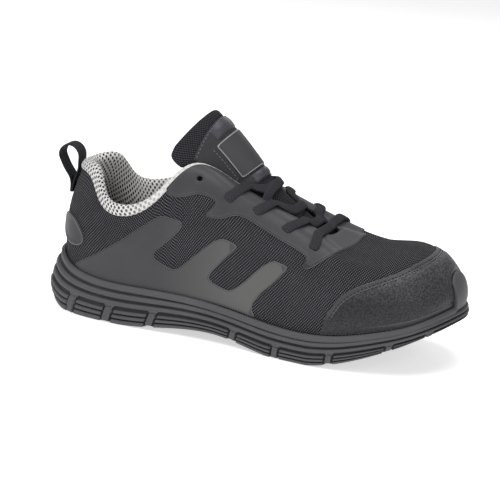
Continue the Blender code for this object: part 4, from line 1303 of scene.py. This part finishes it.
def sole_round():
    """Fine steps round the sole, finer at the sides of the bars and of the bumper."""
    spots = list(np.linspace(0, 0.5, 300))
    for bottom, top, width in BARS:
        for centre in (bottom, top):
            for side in (-1, 1):
                spots += list(centre + side * width / 2 + np.linspace(-0.0022, 0.0022, 9))
    spots += list(0.5 - BUMPER_HALF + np.linspace(-0.006, 0.004, 16))
    spots = sorted(spot for spot in spots if 0 <= spot <= 0.5)
    kept = [0.0]
    for spot in spots:
        if spot - kept[-1] > 0.00035:
            kept.append(spot)
    kept[-1] = 0.5
    return full_round(kept)


def bar_mask(u, up, inset=0.0):
    """1 on the raised bars, which lean with their height, 0 between them. A positive inset
    leaves their middles alone, a negative one takes in the slots beside them."""
    half = np.minimum(u % 1.0, 1 - u % 1.0)
    mask = np.zeros(len(u))
    for bottom, top, width in BARS:
        centre = bottom + (top - bottom) * up
        reach = width / 2 - inset
        mask = np.maximum(mask, 1 - smooth_step(np.abs(half - centre), reach - 0.0004, reach + 0.0006))
    return mask


def rib_depth(ribs, up):
    """1 in the grooves, 0 on the crowns of the rounded ribs."""
    depth = 1.0
    for low, high in ribs:
        off = abs(2 * (up - low) / (high - low) - 1)
        if off < 1:
            depth = min(depth, 1 - math.sqrt(1 - off**2.6))
    return depth


def sole_marks(u, z, depth):
    """Millimetres round and up the side of the sole, and how deep in a groove, from 0 to 1, which the rubber
    paints as shade.
    """
    depth = np.clip(np.broadcast_to(depth, u.shape), 0, 1)
    return np.column_stack([u * SOLE_ROUND_MM, z / MM, depth])


def strips(ring, inner, count, cross):
    """Quads across a closed ring of count points from index ring on: strips of cross points,
    the inner ones from index inner on, and triangles at both tips."""
    half = count // 2
    wide = cross - 2

    def spot(k, c):
        """Index of the point in strip k at place c across."""
        if c == 0:
            return ring + k
        if c == cross - 1:
            return ring + count - k
        return inner + (k - 1) * wide + c - 1

    faces = []
    for k in range(1, half - 1):
        for c in range(cross - 1):
            faces.append((spot(k, c), spot(k, c + 1), spot(k + 1, c + 1), spot(k + 1, c)))
    for c in range(cross - 1):
        faces.append((ring, spot(1, c + 1), spot(1, c)))
        faces.append((ring + half, spot(half - 1, c), spot(half - 1, c + 1)))
    return faces


def edge_shares(cross):
    """How far from the nearer side the points across a ring lie, in shares of its breadth."""
    return np.minimum(np.linspace(0, 1, cross), np.linspace(1, 0, cross))[None, :]


def across_ring(ring, cross):
    """Rows of points straight across a ring, from one side to the other."""
    shares = np.linspace(0, 1, cross)[:, None]
    count = len(ring)
    rows = [ring[k] + (ring[count - k] - ring[k]) * shares for k in range(1, count // 2)]
    return np.array(rows)


def outsole():
    """Bottom layer: ribs and raised bars on its side, lugs underneath."""
    around = sole_round()
    under = np.maximum(SOLE(around)[:, 2], 0)
    top = parting_height(around)
    rings = []
    groove_shade_depths = []
    for up in np.linspace(1, 0, 72):
        z = under + up * (top - under)
        mask = bar_mask(around, up, 0.0016)
        z = z + 1.5 * MM * mask * max(0.0, 1 - up / 0.30) * smooth_step(SOLE(around)[:, 2], -2 * MM, 1 * MM)
        rib = RIB_DEPTH * rib_depth(OUTSOLE_RIBS, up) if up > 0.14 else 0.0
        lower_round = 1.2 * MM * np.clip(1 - up / 0.07, 0, 1) ** 2
        proud = -BAR_PROUD + 0.9 * MM * smooth_step(np.array([up]), 0.86, 1.0)[0]
        beside = bar_mask(around, up, -0.0006) - mask
        middle = bar_mask(around, up, 0.0032)
        slot = max(rib, RIB_DEPTH * (1.1 if up < 0.9 else 0.0))
        inset = rib * (1 - mask - beside) + slot * beside + proud * mask + 0.5 * MM * middle
        inset = inset + lower_round
        rings.append(side_point(around, z, inset))
        groove_shade_depths.append((rib * (1 - mask - beside) + slot * beside + 0.3 * RIB_DEPTH * middle) / RIB_DEPTH)
    count = len(around)
    cross = 61
    grid = across_ring(rings[-1], cross)
    tread = tread_depth(grid)
    grid[:, :, 2] += tread
    side = np.vstack(rings)
    faces = sheet_faces(len(rings), count, False, True)
    inner = grid[:, 1:-1].reshape(-1, 3)
    faces += strips((len(rings) - 1) * count, len(side), count, cross)
    lid = len(side) + len(inner)
    centre = rings[0].copy()
    centre[:, :2] += 4 * MM * inward(around)
    points = np.vstack([side, inner, centre])
    for i in range(count):
        j = (i + 1) % count
        faces.append((i, lid + i, lid + j, j))
    marks = np.zeros((len(points), 3))
    rows = [sole_marks(around, ring[:, 2], depth) for ring, depth in zip(rings, groove_shade_depths)]
    marks[: len(side)] = np.vstack(rows)
    marks[len(side) : lid, :2] = inner[:, :2] / MM
    # The tread's cut, which the rubber paints as shade in its grooves.
    marks[len(side) : lid, 2] = np.clip(tread[:, 1:-1].ravel() / (4 * MM), 0, 1)
    piece("outsole_rubber", points, faces, SOLE_RUBBER, marks, ["outsole"])


# The tread's grooves: pitch of the blocks, pitch of the fine ribs at the waist, and depth
TREAD_PITCH = 12.5
WAIST_PITCH = 4.2
TREAD_DEPTH = 3.0 * MM


def tread_depth(grid):
    """How far the tread is cut in at points of the underside."""
    x = grid[:, :, 0] / MM
    y = grid[:, :, 1] / MM
    wide = np.linalg.norm(grid[:, -1] - grid[:, 0], axis=1)[:, None] / MM
    inset = edge_shares(grid.shape[1]) * wide
    wave = x + 7 * np.cos(y / 50 * math.pi)
    groove = np.abs((wave / TREAD_PITCH) % 1.0 - 0.5) * TREAD_PITCH
    cut = 1 - smooth_step(groove, 1.1, 1.8)
    channel = np.abs(np.abs(y - 2) - 17 + 2 * np.sin(x / 18))
    cut = np.maximum(cut, (1 - smooth_step(channel, 1.1, 1.8)) * (inset > 10))
    waist = smooth_step(x, 104, 112) * (1 - smooth_step(x, 132, 140))
    fine = np.abs((wave / WAIST_PITCH) % 1.0 - 0.5) * WAIST_PITCH
    ribbed = (1 - smooth_step(fine, 0.5, 1.0)) * 0.35
    cut = cut * (1 - waist) + ribbed * waist
    return TREAD_DEPTH * cut * smooth_step(inset, 1.2, 2.4)


def midsole():
    """Upper layer: ribs, rolled rim, toe bumper and the cup under the upper."""
    around = sole_round()
    base = parting_height(around) + 0.1 * MM
    seat = SOLE(around)[:, 3]
    rings = []
    groove_shade_depths = []
    for up in np.linspace(0, 0.69, 56):
        mask = bar_mask(around, 1.0) * (1 - smooth_step(np.array([up]), 0.10, 0.24)[0])
        rib = RIB_DEPTH * rib_depth(MIDSOLE_RIBS, up)
        inset = rib * (1 - mask) + 0.1 * MM * mask
        rings.append(side_point(around, base + up * (seat - base), inset))
        groove_shade_depths.append(rib * (1 - mask) / RIB_DEPTH)
    lip = lip_share(around)
    for up, away in spline_rows(RIM_ROWS, np.linspace(0, 1, 44)):
        rings.append(upper_point(around, np.clip(up * lip, 0, 1), np.full(len(around), away)))
    floor = upper_point(around, 0 * around, np.full(len(around), 0.5 * MM))
    floor[:, 2] = floor_height(around)
    rings.append(floor)
    count = len(around)
    half = count // 2
    points = np.vstack(rings)
    faces = sheet_faces(len(rings), count, False, True)
    for first in (0, (len(rings) - 1) * count):
        lid = [(first, first + 1, first + count - 1)]
        for k in range(1, half - 1):
            lid.append((first + k, first + k + 1, first + count - k - 1, first + count - k))
        lid.append((first + half - 1, first + half, first + half + 1))
        faces += lid if first else [face[::-1] for face in lid]
    groove_shade_depths += [0.0] * (len(rings) - len(groove_shade_depths))
    rows = [sole_marks(around, ring[:, 2], depth) for ring, depth in zip(rings, groove_shade_depths)]
    marks = np.vstack(rows)
    piece("midsole_rubber", points, faces, MIDSOLE_RUBBER, marks, ["midsole"])


def insole_pad():
    """Padded insole with a slightly sunk middle."""
    count = 240
    cross = 40
    around = np.linspace(0, 1, count, endpoint=False)
    inner = WALL + 0.3 * MM
    rings = []
    for out, up in ((0.0, 0.0), (0.0, 3.0), (0.2, 3.7), (0.8, 4.1), (1.8, 4.2)):
        ring = upper_point(around, 0 * around, np.full(count, -inner - out * MM))
        ring[:, 2] = floor_height(around) + up * MM
        rings.append(ring)
    grid = across_ring(rings[-1], cross)
    grid[:, :, 2] -= 1.2 * MM * smooth_step(edge_shares(cross) * 60, 0, 14)
    side = np.vstack(rings)
    faces = sheet_faces(len(rings), count, False, True)
    faces += strips((len(rings) - 1) * count, len(side), count, cross)
    faces.append(tuple(range(count)))
    points = np.vstack([side, grid[:, 1:-1].reshape(-1, 3)])
    marks = np.column_stack([points[:, :2] / MM, np.zeros(len(points))])
    obj = piece("insole_pad", points, faces, INSOLE_CLOTH, marks, ["insole"])


# A stitch along its length: share of its length, then breadth and height in shares of its radius
STITCH_SHAPE = (
    (-0.5, 0.0, -1.4), (-0.46, 0.55, -0.5), (-0.3, 0.95, 0.1), (0.0, 1.0, 0.35), (0.3, 0.95, 0.1),
    (0.46, 0.55, -0.5), (0.5, 0.0, -1.4),
)
STITCH_CORNERS = 6


def spot_on(rows, lengths, at):
    """Row at a running length, between the dense ones."""
    return np.array([np.interp(at, lengths, rows[:, axis]) for axis in range(3)])


def stitches(name, paths, finish, length=1.8, space=0.9, thick=0.62, sink=0.05):
    """Rows of stitches as one mesh. Each path holds dense points and the way out of the face."""
    parts = []
    turns = np.linspace(0, 2 * math.pi, STITCH_CORNERS, endpoint=False)
    quads = sheet_faces(len(STITCH_SHAPE), STITCH_CORNERS, False, True)
    for points, faces_out in paths:
        lengths = lengths_along(points)
        count = int(lengths[-1] / ((length + space) * MM))
        for k in range(count):
            middle = (k + 0.5) * lengths[-1] / count
            start, end = (spot_on(points, lengths, middle + d * MM * 0.5) for d in (-1, 1))
            ahead = end - start
            ahead /= np.linalg.norm(ahead)
            centre = (end + start) / 2
            out = spot_on(faces_out, lengths, middle)
            out /= np.linalg.norm(out)
            side = np.cross(ahead, out)
            radius = thick * MM / 2
            rows = []
            for share, wide, high in STITCH_SHAPE:
                here = centre + ahead * share * length * MM + out * (high * radius - sink * MM)
                reach = max(wide, 0.05) * radius
                for turn in turns:
                    rows.append(here + side * math.cos(turn) * reach + out * math.sin(turn) * reach)
            parts.append((np.array(rows), quads, np.zeros((len(rows), 3))))
    points, faces, marks = joined(parts)
    piece(name, points, faces, finish, marks)


def seam(shares, place, out):
    """Path of a row of stitches over a face, and the way out of it there."""
    out = np.broadcast_to(out, len(shares))
    low = laid(place, shares, out)
    return low, laid(place, shares, out + MM) - low


def sewing():
    """Every visible row of stitches: dark thread on the cap and the strips, pale on the panel."""
    side = toe_cap_seam()
    outline = toe_cap_outline()
    hand = 1 if turns_left(outline) is outline else -1
    dark = []
    for row in STITCH_ROWS:
        line = blurred(moved_in(side, skin, hand * row * MM, closed=False), np.ones(9) / 9)
        low = under_rim(toe_cap_height)(line[:, 0], line[:, 1], np.full(len(line), row * MM))
        dark.append(seam(line[4:-4], skin, low[4:-4]))
    across = np.linspace(-0.46, 0.46, 40)
    for share in STRIP_SEAMS:
        dark.append(seam(np.column_stack([np.full(40, share), across]), tongue_top, 0.75 * MM))
    stitches("dark_stitches", dark, THREAD, thick=0.95, sink=0.0)
    arc = np.linspace(-0.93, 0.93, 120)
    pale = [seam(np.column_stack([panel_top(arc) - 0.013, arc]), tongue_top, 0.85 * MM)]
    along = np.linspace(0.61, 0.78, 40)
    for side_t in (-LABEL_SEAM, LABEL_SEAM):
        pale.append(seam(np.column_stack([along, np.full(40, side_t)]), tongue_top, 0.7 * MM))
    stitches("pale_stitches", pale, PALE_THREAD)


class Nodes:
    """Short calls for building a node material."""

    def __init__(self, name):
        self.material = bpy.data.materials.new(name)
        self.material.use_nodes = True
        self.tree = self.material.node_tree
        self.shader = self.tree.nodes["Principled BSDF"]
        self.shader.inputs["Metallic"].default_value = 0

    def add(self, kind, **values):
        node = self.tree.nodes.new(kind)
        for name, value in values.items():
            setattr(node, name, value)
        return node

    def put(self, socket, value):
        if isinstance(value, bpy.types.NodeSocket):
            self.tree.links.new(value, socket)
        elif value is not None:
            socket.default_value = value

    def math(self, operation, first, second=None, third=None):
        node = self.add("ShaderNodeMath", operation=operation)
        for socket, value in zip(node.inputs, (first, second, third)):
            self.put(socket, value)
        return node.outputs[0]

    def parts(self, vector):
        """Its three numbers."""
        node = self.add("ShaderNodeSeparateXYZ")
        self.put(node.inputs["Vector"], vector)
        return tuple(node.outputs)

    def place(self):
        """The three numbers marked on the mesh: mostly millimetres along, up and from the rim."""
        return self.parts(self.add("ShaderNodeAttribute", attribute_name="place").outputs["Vector"])

    def here(self):
        """Position on the object in metres."""
        return self.add("ShaderNodeTexCoord").outputs["Object"]

    def noise(self, vector, scale, detail=3.0, rough=0.5):
        node = self.add("ShaderNodeTexNoise")
        self.put(node.inputs["Vector"], vector)
        node.inputs["Scale"].default_value = scale
        node.inputs["Detail"].default_value = detail
        node.inputs["Roughness"].default_value = rough
        return node.outputs["Fac"]

    def cells(self, vector, scale):
        node = self.add("ShaderNodeTexVoronoi", feature="F1")
        self.put(node.inputs["Vector"], vector)
        node.inputs["Scale"].default_value = scale
        return node.outputs["Distance"]

    def ramp(self, value, low, high):
        """0 under low, 1 over high, smooth between them."""
        node = self.add("ShaderNodeMapRange", interpolation_type="SMOOTHSTEP")
        self.put(node.inputs["Value"], value)
        node.inputs["From Min"].default_value = low
        node.inputs["From Max"].default_value = high
        return node.outputs["Result"]

    def band(self, value, low, high):
        """1 midway between low and high, falling to 0 at both."""
        middle = (low + high) / 2
        away = self.math("ABSOLUTE", self.math("SUBTRACT", value, middle))
        return self.inverse(self.ramp(away, (high - low) * 0.2, (high - low) * 0.5))

    def mix(self, share, first, second):
        node = self.add("ShaderNodeMix", data_type="RGBA")
        self.put(node.inputs["Factor"], share)
        for socket, value in ((node.inputs[6], first), (node.inputs[7], second)):
            self.put(socket, (*value, 1) if isinstance(value, tuple) else value)
        return node.outputs[2]

    def bump(self, height, distance, strength=1.0, before=None):
        node = self.add("ShaderNodeBump")
        self.put(node.inputs["Height"], height)
        node.inputs["Distance"].default_value = distance
        node.inputs["Strength"].default_value = strength
        if before is not None:
            self.put(node.inputs["Normal"], before)
        return node.outputs[0]

    def wave(self, value, pitch):
        """Sine of a length, from -1 to 1."""
        return self.math("SINE", self.math("MULTIPLY", value, 2 * math.pi / pitch))

    def tint(self, share, strength, colour, other):
        """The colour, turned to the other one by a share of the given strength."""
        return self.mix(self.math("MULTIPLY", share, strength), colour, other)

    def inverse(self, value):
        return self.math("SUBTRACT", 1.0, value)

    def finish(self, colour, roughness, normal=None, **settings):
        self.put(self.shader.inputs["Base Color"], (*colour, 1) if isinstance(colour, tuple) else colour)
        self.put(self.shader.inputs["Roughness"], roughness)
        if normal is not None:
            self.put(self.shader.inputs["Normal"], normal)
        for name, value in settings.items():
            self.shader.inputs[name.replace("_", " ")].default_value = value
        return self.material


def lattice(nodes, along, up, wide, high):
    """Offset rows of round spots, 1 at a spot's middle and -1 between spots."""
    a = nodes.math("MULTIPLY", along, 1 / wide)
    b = nodes.math("MULTIPLY", up, 1 / high)
    waves = [nodes.wave(nodes.math(kind, a, b), 2.0) for kind in ("ADD", "SUBTRACT")]
    return nodes.math("MULTIPLY", *waves)


def fibres(nodes, along, up, pitch):
    """Fine crossing threads."""
    return nodes.math("MULTIPLY", nodes.wave(along, pitch), nodes.wave(up, pitch))


def dust(nodes, colour, amount, shade):
    """Pale traces of wear in soft patches."""
    patches = nodes.ramp(nodes.noise(nodes.here(), 38.0, 5.0, 0.6), 0.52, 0.78)
    return nodes.tint(patches, amount, colour, shade)


def mesh_cloth():
    """Dark net with rows of light dots, and painted shade at the eyelet holes."""
    nodes = Nodes("air_mesh")
    along, up, rim = nodes.place()
    spots = lattice(nodes, along, up, 1.65, 2.4)
    dots = nodes.ramp(nodes.math("ABSOLUTE", spots), 0.35, 0.90)
    threads = fibres(nodes, along, up, 0.42)
    patches = nodes.noise(nodes.here(), 55.0, 4.0)
    dark = nodes.mix(patches, (0.007, 0.007, 0.009), (0.012, 0.012, 0.015))
    light = nodes.mix(patches, (0.115, 0.115, 0.128), (0.170, 0.171, 0.186))
    colour = nodes.mix(dots, dark, light)
    colour = dust(nodes, colour, 0.05, (0.15, 0.15, 0.15))
    # Painted shade: near-black at the eyelet holes, for the dark inside of the holes.
    clear_of_hole_shade = nodes.ramp(rim, 5.0, 40.0)
    colour = nodes.mix(clear_of_hole_shade, (0.003, 0.003, 0.003), colour)
    bump = nodes.bump(dots, 0.00055, 0.8)
    bump = nodes.bump(threads, 0.00010, 0.5, bump)
    return nodes.finish(colour, 0.85, bump, Specular_IOR_Level=0.12)


def film(name, low, high, edge, roughness, grain, coat, inner=0.0, faded=None):
    """Pressed film: a painted highlight along its rounded edge, a painted shade line beside it and, for
    inner, a second pale line.
    faded is its colour further forwards along the shoe."""
    nodes = Nodes(name)
    along, _, rim = nodes.place()
    patches = nodes.noise(nodes.here(), 42.0, 4.0, 0.55)
    colour = nodes.mix(patches, low, high)
    if faded:
        colour = nodes.mix(nodes.ramp(along, 95.0, 175.0), colour, faded)
    # Painted shade: a dark line just inside the rounded edge.
    colour = nodes.tint(nodes.band(rim, 0.35, 1.0), 0.45, colour, (0.012, 0.012, 0.014))
    colour = nodes.tint(nodes.band(rim, 1.5, 2.2), inner, colour, edge)
    # Painted highlight: a pale line on the rounded edge, where light catches the bevel.
    border = nodes.inverse(nodes.ramp(rim, 0.10, 0.40))
    colour = nodes.tint(border, 0.7, colour, edge)
    colour = dust(nodes, colour, 0.08, (0.12, 0.12, 0.13))
    weave = nodes.noise(nodes.here(), 2600.0, 2.0)
    soft = nodes.noise(nodes.here(), 260.0, 3.0)
    bump = nodes.bump(soft, 0.0004, 0.25)
    bump = nodes.bump(weave, 0.00012, grain, bump)
    rough = nodes.math("MULTIPLY_ADD", patches, 0.16, roughness - 0.08)
    return nodes.finish(colour, rough, bump, Specular_IOR_Level=0.25, Coat_Weight=coat, Coat_Roughness=0.35)


def leather():
    """Grained leather of the toe cap: a painted highlight makes it brighter higher up, a painted highlight
    line lies between its stitch rows, and a pale border runs along its seam.
    """
    nodes = Nodes("toe_leather")
    _, _, rim = nodes.place()
    patches = nodes.noise(nodes.here(), 48.0, 5.0, 0.6)
    speckle = nodes.ramp(nodes.noise(nodes.here(), 950.0, 2.0, 0.6), 0.35, 0.68)
    colour = nodes.mix(speckle, (0.004, 0.004, 0.005), (0.026, 0.026, 0.030))
    colour = nodes.tint(patches, 0.25, colour, (0.022, 0.022, 0.025))
    # Painted highlight: the cap grows brighter higher up, where the light from above falls.
    _, _, tall = nodes.parts(nodes.here())
    painted_top_highlight = nodes.ramp(tall, 0.042, 0.072)
    top_highlight_colour = nodes.mix(speckle, (0.018, 0.018, 0.021), (0.105, 0.105, 0.118))
    colour = nodes.tint(painted_top_highlight, 0.8, colour, top_highlight_colour)
    inland = nodes.ramp(tall, 0.030, 0.040)
    strip = nodes.math("MULTIPLY", nodes.inverse(nodes.ramp(rim, 3.2, 4.2)), inland)
    colour = nodes.tint(strip, 0.8, colour, (0.050, 0.050, 0.056))
    # Painted highlight: a pale line on the ridge between the two stitch rows.
    line = nodes.math("MULTIPLY", nodes.band(rim, 3.3, 4.0), inland)
    colour = nodes.tint(line, 0.6, colour, (0.12, 0.12, 0.13))
    border = nodes.inverse(nodes.ramp(rim, 0.10, 0.45))
    colour = nodes.tint(border, 0.6, colour, (0.11, 0.11, 0.12))
    colour = dust(nodes, colour, 0.07, (0.10, 0.10, 0.11))
    cells = nodes.cells(nodes.here(), 800.0)
    fine = nodes.noise(nodes.here(), 1500.0, 2.0)
    broad = nodes.noise(nodes.here(), 130.0, 4.0)
    bump = nodes.bump(broad, 0.0008, 0.25)
    bump = nodes.bump(cells, 0.00055, 0.6, bump)
    bump = nodes.bump(fine, 0.00025, 0.5, bump)
    rough = nodes.math("MULTIPLY_ADD", patches, 0.14, 0.34)
    return nodes.finish(colour, rough, bump, Specular_IOR_Level=0.30, Coat_Weight=0.08, Coat_Roughness=0.35)


def rubber(name, low, high, roughness):
    """Moulded rubber, with painted shade in its grooves and pale on worn edges."""
    nodes = Nodes(name)
    _, _, depth = nodes.place()
    patches = nodes.noise(nodes.here(), 30.0, 5.0, 0.6)
    colour = nodes.mix(patches, low, high)
    # Painted shade: darker the deeper a point lies in a groove of the sole's side or tread.
    colour = nodes.tint(nodes.ramp(depth, 0.25, 0.95), 0.85, colour, (0.010, 0.010, 0.012))
    worn = nodes.add("ShaderNodeNewGeometry").outputs["Pointiness"]
    edges = nodes.ramp(worn, 0.505, 0.56)
    colour = nodes.tint(edges, 0.35, colour, (0.11, 0.11, 0.12))
    colour = dust(nodes, colour, 0.15, (0.12, 0.118, 0.115))
    grain = nodes.noise(nodes.here(), 1800.0, 3.0)
    flow = nodes.noise(nodes.here(), 160.0, 3.0)
    bump = nodes.bump(flow, 0.0005, 0.2)
    bump = nodes.bump(grain, 0.00012, 0.35, bump)
    rough = nodes.math("MULTIPLY_ADD", patches, 0.2, roughness - 0.1)
    return nodes.finish(colour, rough, bump, Specular_IOR_Level=0.28)


def lining_cloth():
    """Pale spacer mesh with round holes, which fade out where it is thin."""
    nodes = Nodes("spacer_mesh")
    along, up, thin = nodes.place()
    spots = lattice(nodes, along, up, 3.7, 4.8)
    holes = nodes.ramp(nodes.math("ABSOLUTE", spots), 0.44, 0.74)
    holes = nodes.math("MULTIPLY", holes, nodes.inverse(thin))
    threads = nodes.ramp(lattice(nodes, along, up, 0.9, 1.2), -0.6, 0.6)
    patches = nodes.noise(nodes.here(), 60.0, 4.0)
    light = nodes.mix(patches, (0.66, 0.645, 0.63), (0.84, 0.825, 0.81))
    light = nodes.tint(threads, 0.35, light, (0.30, 0.29, 0.28))
    colour = nodes.mix(holes, light, (0.022, 0.020, 0.019))
    bump = nodes.bump(nodes.inverse(holes), 0.0010, 0.9)
    bump = nodes.bump(threads, 0.0002, 0.5, bump)
    return nodes.finish(colour, 0.8, bump, Specular_IOR_Level=0.2)


def twill(name, low, high, along_pitch, across_pitch, tilt, roughness):
    """Slanted ribs of a woven band, crossed by fine threads."""
    nodes = Nodes(name)
    along, across, _ = nodes.place()
    ribs = nodes.wave(nodes.math("MULTIPLY_ADD", across, tilt, along), along_pitch)
    threads = nodes.wave(across, across_pitch)
    weave = nodes.math("MULTIPLY_ADD", ribs, 0.7, nodes.math("MULTIPLY", threads, 0.3))
    share = nodes.ramp(weave, -0.7, 0.8)
    patches = nodes.noise(nodes.here(), 70.0, 3.0)
    colour = nodes.mix(share, low, high)
    colour = nodes.tint(patches, 0.35, colour, low)
    bump = nodes.bump(weave, 0.00035, 0.8)
    bump = nodes.bump(nodes.noise(nodes.here(), 2400.0, 2.0), 0.0001, 0.4, bump)
    return nodes.finish(colour, roughness, bump, Specular_IOR_Level=0.15)


def lace_cloth():
    """Braid with ribs that meet along the middle of the lace."""
    nodes = Nodes("lace_braid")
    along, across, _ = nodes.place()
    slope = nodes.math("MULTIPLY", nodes.math("ABSOLUTE", across), 1.1)
    ribs = nodes.wave(nodes.math("ADD", along, slope), 1.25)
    rows = nodes.wave(across, 1.3)
    weave = nodes.math("MULTIPLY_ADD", ribs, 0.65, nodes.math("MULTIPLY", rows, 0.35))
    share = nodes.ramp(weave, -0.6, 0.8)
    patches = nodes.noise(nodes.here(), 90.0, 3.0)
    colour = nodes.mix(share, (0.020, 0.020, 0.024), (0.078, 0.078, 0.090))
    colour = nodes.tint(patches, 0.3, colour, (0.036, 0.036, 0.042))
    bump = nodes.bump(weave, 0.00040, 0.9)
    return nodes.finish(colour, 0.85, bump, Specular_IOR_Level=0.12)


def tongue_cloth_finish():
    """Finer net than the upper's."""
    nodes = Nodes("tongue_mesh")
    along, up, _ = nodes.place()
    spots = lattice(nodes, along, up, 1.5, 2.0)
    dots = nodes.ramp(nodes.math("ABSOLUTE", spots), 0.25, 0.80)
    patches = nodes.noise(nodes.here(), 60.0, 4.0)
    colour = nodes.mix(dots, (0.007, 0.007, 0.009), (0.070, 0.070, 0.080))
    colour = nodes.tint(patches, 0.3, colour, (0.020, 0.020, 0.024))
    bump = nodes.bump(dots, 0.0004, 0.7)
    bump = nodes.bump(fibres(nodes, along, up, 0.4), 0.0001, 0.5, bump)
    return nodes.finish(colour, 0.85, bump, Specular_IOR_Level=0.12)


def plate_finish(name, face, border):
    """Bare plate with a paler line inside its edge."""
    nodes = Nodes(name)
    _, _, rim = nodes.place()
    patches = nodes.noise(nodes.here(), 90.0, 4.0)
    colour = nodes.mix(nodes.math("MULTIPLY", patches, 0.5), face, tuple(1.5 * value for value in face))
    colour = nodes.mix(nodes.band(rim, 0.55, 1.25), colour, border)
    bump = nodes.bump(nodes.noise(nodes.here(), 1500.0, 2.0), 0.0001, 0.4)
    return nodes.finish(colour, 0.5, bump, Specular_IOR_Level=0.3)


def thread_finish(name, colour):
    nodes = Nodes(name)
    strands = nodes.noise(nodes.here(), 3000.0, 2.0)
    shades = nodes.mix(strands, tuple(0.6 * value for value in colour), colour)
    return nodes.finish(shades, 0.6, nodes.bump(strands, 0.0001, 0.5))


def floor_and_light():
    """Pale floor and soft studio light."""
    bm = bmesh.new()
    bmesh.ops.create_grid(bm, x_segments=40, y_segments=40, size=3.0)
    mesh = bpy.data.meshes.new("floor")
    bm.to_mesh(mesh)
    bm.free()
    floor = bpy.data.objects.new("floor", mesh)
    bpy.context.scene.collection.objects.link(floor)
    nodes = Nodes("studio_floor")
    mottle = nodes.noise(nodes.here(), 3.0, 2.0)
    white = nodes.mix(mottle, (0.88, 0.88, 0.88), (0.92, 0.92, 0.92))
    glow = {"Emission_Color": (1.0, 1.0, 1.0, 1.0), "Emission_Strength": FLOOR_GLOW}
    mesh.materials.append(nodes.finish(white, 0.9, **glow))
    world = bpy.data.worlds.new("studio")
    bpy.context.scene.world = world
    world.use_nodes = True
    background = world.node_tree.nodes["Background"]
    background.inputs["Color"].default_value = (1.0, 1.0, 1.0, 1)
    background.inputs["Strength"].default_value = WORLD
    for name, place, size, power in LIGHTS:
        lamp = bpy.data.lights.new(name, "AREA")
        lamp.shape = "RECTANGLE"
        lamp.size, lamp.size_y = size
        lamp.energy = power
        obj = bpy.data.objects.new(name, lamp)
        obj.location = place
        obj.rotation_euler = (Vector((0, 0, 0.05)) - Vector(place)).to_track_quat("-Z", "Y").to_euler()
        bpy.context.scene.collection.objects.link(obj)
    bpy.context.scene.view_settings.view_transform = "Standard"


LIGHTS = (
    # name, place, size, power
    ("key", (-0.55, -0.75, 1.05), (0.7, 0.5), 9.0),
    ("fill", (0.95, -0.70, 0.60), (0.8, 0.8), 3.5),
    ("top", (0.10, 0.10, 1.30), (1.0, 0.6), 8.0),
    ("back", (-0.20, 1.20, 0.70), (1.2, 0.5), 2.5),
)
WORLD = 0.26
FLOOR_GLOW = 0.56

AZIMUTH = math.radians(17.2)
ELEVATION = math.radians(15.6)
ROLL = math.radians(-4.8)
DISTANCE = 1.5
# Focal length and breadth of the square image in pixels, and the sensor's in millimetres
FOCAL = 2167.5
IMAGE = 500
SENSOR = 36
# What the camera looks at, and how far the picture is moved aside, in pixels
TARGET = (0.154, 0.0, 0.050)
ASIDE = (-12.0, 12.8)


def camera():
    """The photograph's view, turned by its small roll."""
    flat = math.cos(ELEVATION)
    back = Vector((math.sin(AZIMUTH) * flat, -math.cos(AZIMUTH) * flat, math.sin(ELEVATION)))
    level = Vector((math.cos(AZIMUTH), math.sin(AZIMUTH), 0))
    steep = back.cross(level)
    right = level * math.cos(ROLL) - steep * math.sin(ROLL)
    up = level * math.sin(ROLL) + steep * math.cos(ROLL)
    data = bpy.data.cameras.new("camera")
    data.lens = FOCAL / IMAGE * SENSOR
    data.sensor_width = SENSOR
    view = bpy.data.objects.new("camera", data)
    target = Vector(TARGET) + Vector(SHIFT)
    target += (right * ASIDE[0] + up * ASIDE[1]) * DISTANCE / FOCAL
    turn = Matrix((right, up, back)).transposed()
    view.matrix_world = Matrix.Translation(target + back * DISTANCE) @ turn.to_4x4()
    bpy.context.scene.collection.objects.link(view)
    bpy.context.scene.camera = view


camera()
floor_and_light()
MESH_CLOTH = mesh_cloth()
LINING_CLOTH = lining_cloth()
QUARTER_FILM = film(
    "quarter_film",
    (0.042, 0.042, 0.045),
    (0.056, 0.056, 0.060),
    (0.15, 0.15, 0.16),
    0.55,
    0.4,
    0.05,
    faded=(0.100, 0.100, 0.098),
)
STAY_FILM = film(
    "overlay_film", (0.038, 0.038, 0.043), (0.056, 0.056, 0.062), (0.16, 0.16, 0.17), 0.50, 0.4, 0.06, 0.12
)
SATIN = film("satin_strip", (0.038, 0.038, 0.047), (0.054, 0.054, 0.066), (0.08, 0.08, 0.09), 0.36, 0.3, 0.25)
LEATHER = leather()
SOLE_RUBBER = rubber("sole_rubber", (0.060, 0.060, 0.066), (0.088, 0.088, 0.096), 0.62)
MIDSOLE_RUBBER = rubber("midsole_rubber", (0.060, 0.060, 0.066), (0.084, 0.084, 0.092), 0.55)
TONGUE_CLOTH = tongue_cloth_finish()
PANEL_CLOTH = film(
    "panel_cloth", (0.026, 0.026, 0.030), (0.038, 0.038, 0.043), (0.09, 0.09, 0.10), 0.60, 0.6, 0.0
)
LABEL = plate_finish("label_plate", (0.040, 0.040, 0.044), (0.32, 0.32, 0.33))
BADGE = plate_finish("badge_plate", (0.036, 0.036, 0.041), (0.13, 0.13, 0.14))
WEBBING = twill("loop_webbing", (0.010, 0.010, 0.014), (0.042, 0.042, 0.052), 1.6, 0.5, 1.0, 0.75)
LACE_CLOTH = lace_cloth()
INSOLE_CLOTH = twill("insole_fabric", (0.040, 0.040, 0.044), (0.085, 0.085, 0.090), 1.2, 1.2, 0.0, 0.9)
THREAD = thread_finish("thread", (0.004, 0.004, 0.005))
PALE_THREAD = thread_finish("pale_thread", (0.16, 0.16, 0.17))

upper_shell()
overlays()
collar_lining()
tongue_pad()
tongue_trim()
laces()
heel_loop()
outsole()
midsole()
insole_pad()
sewing()
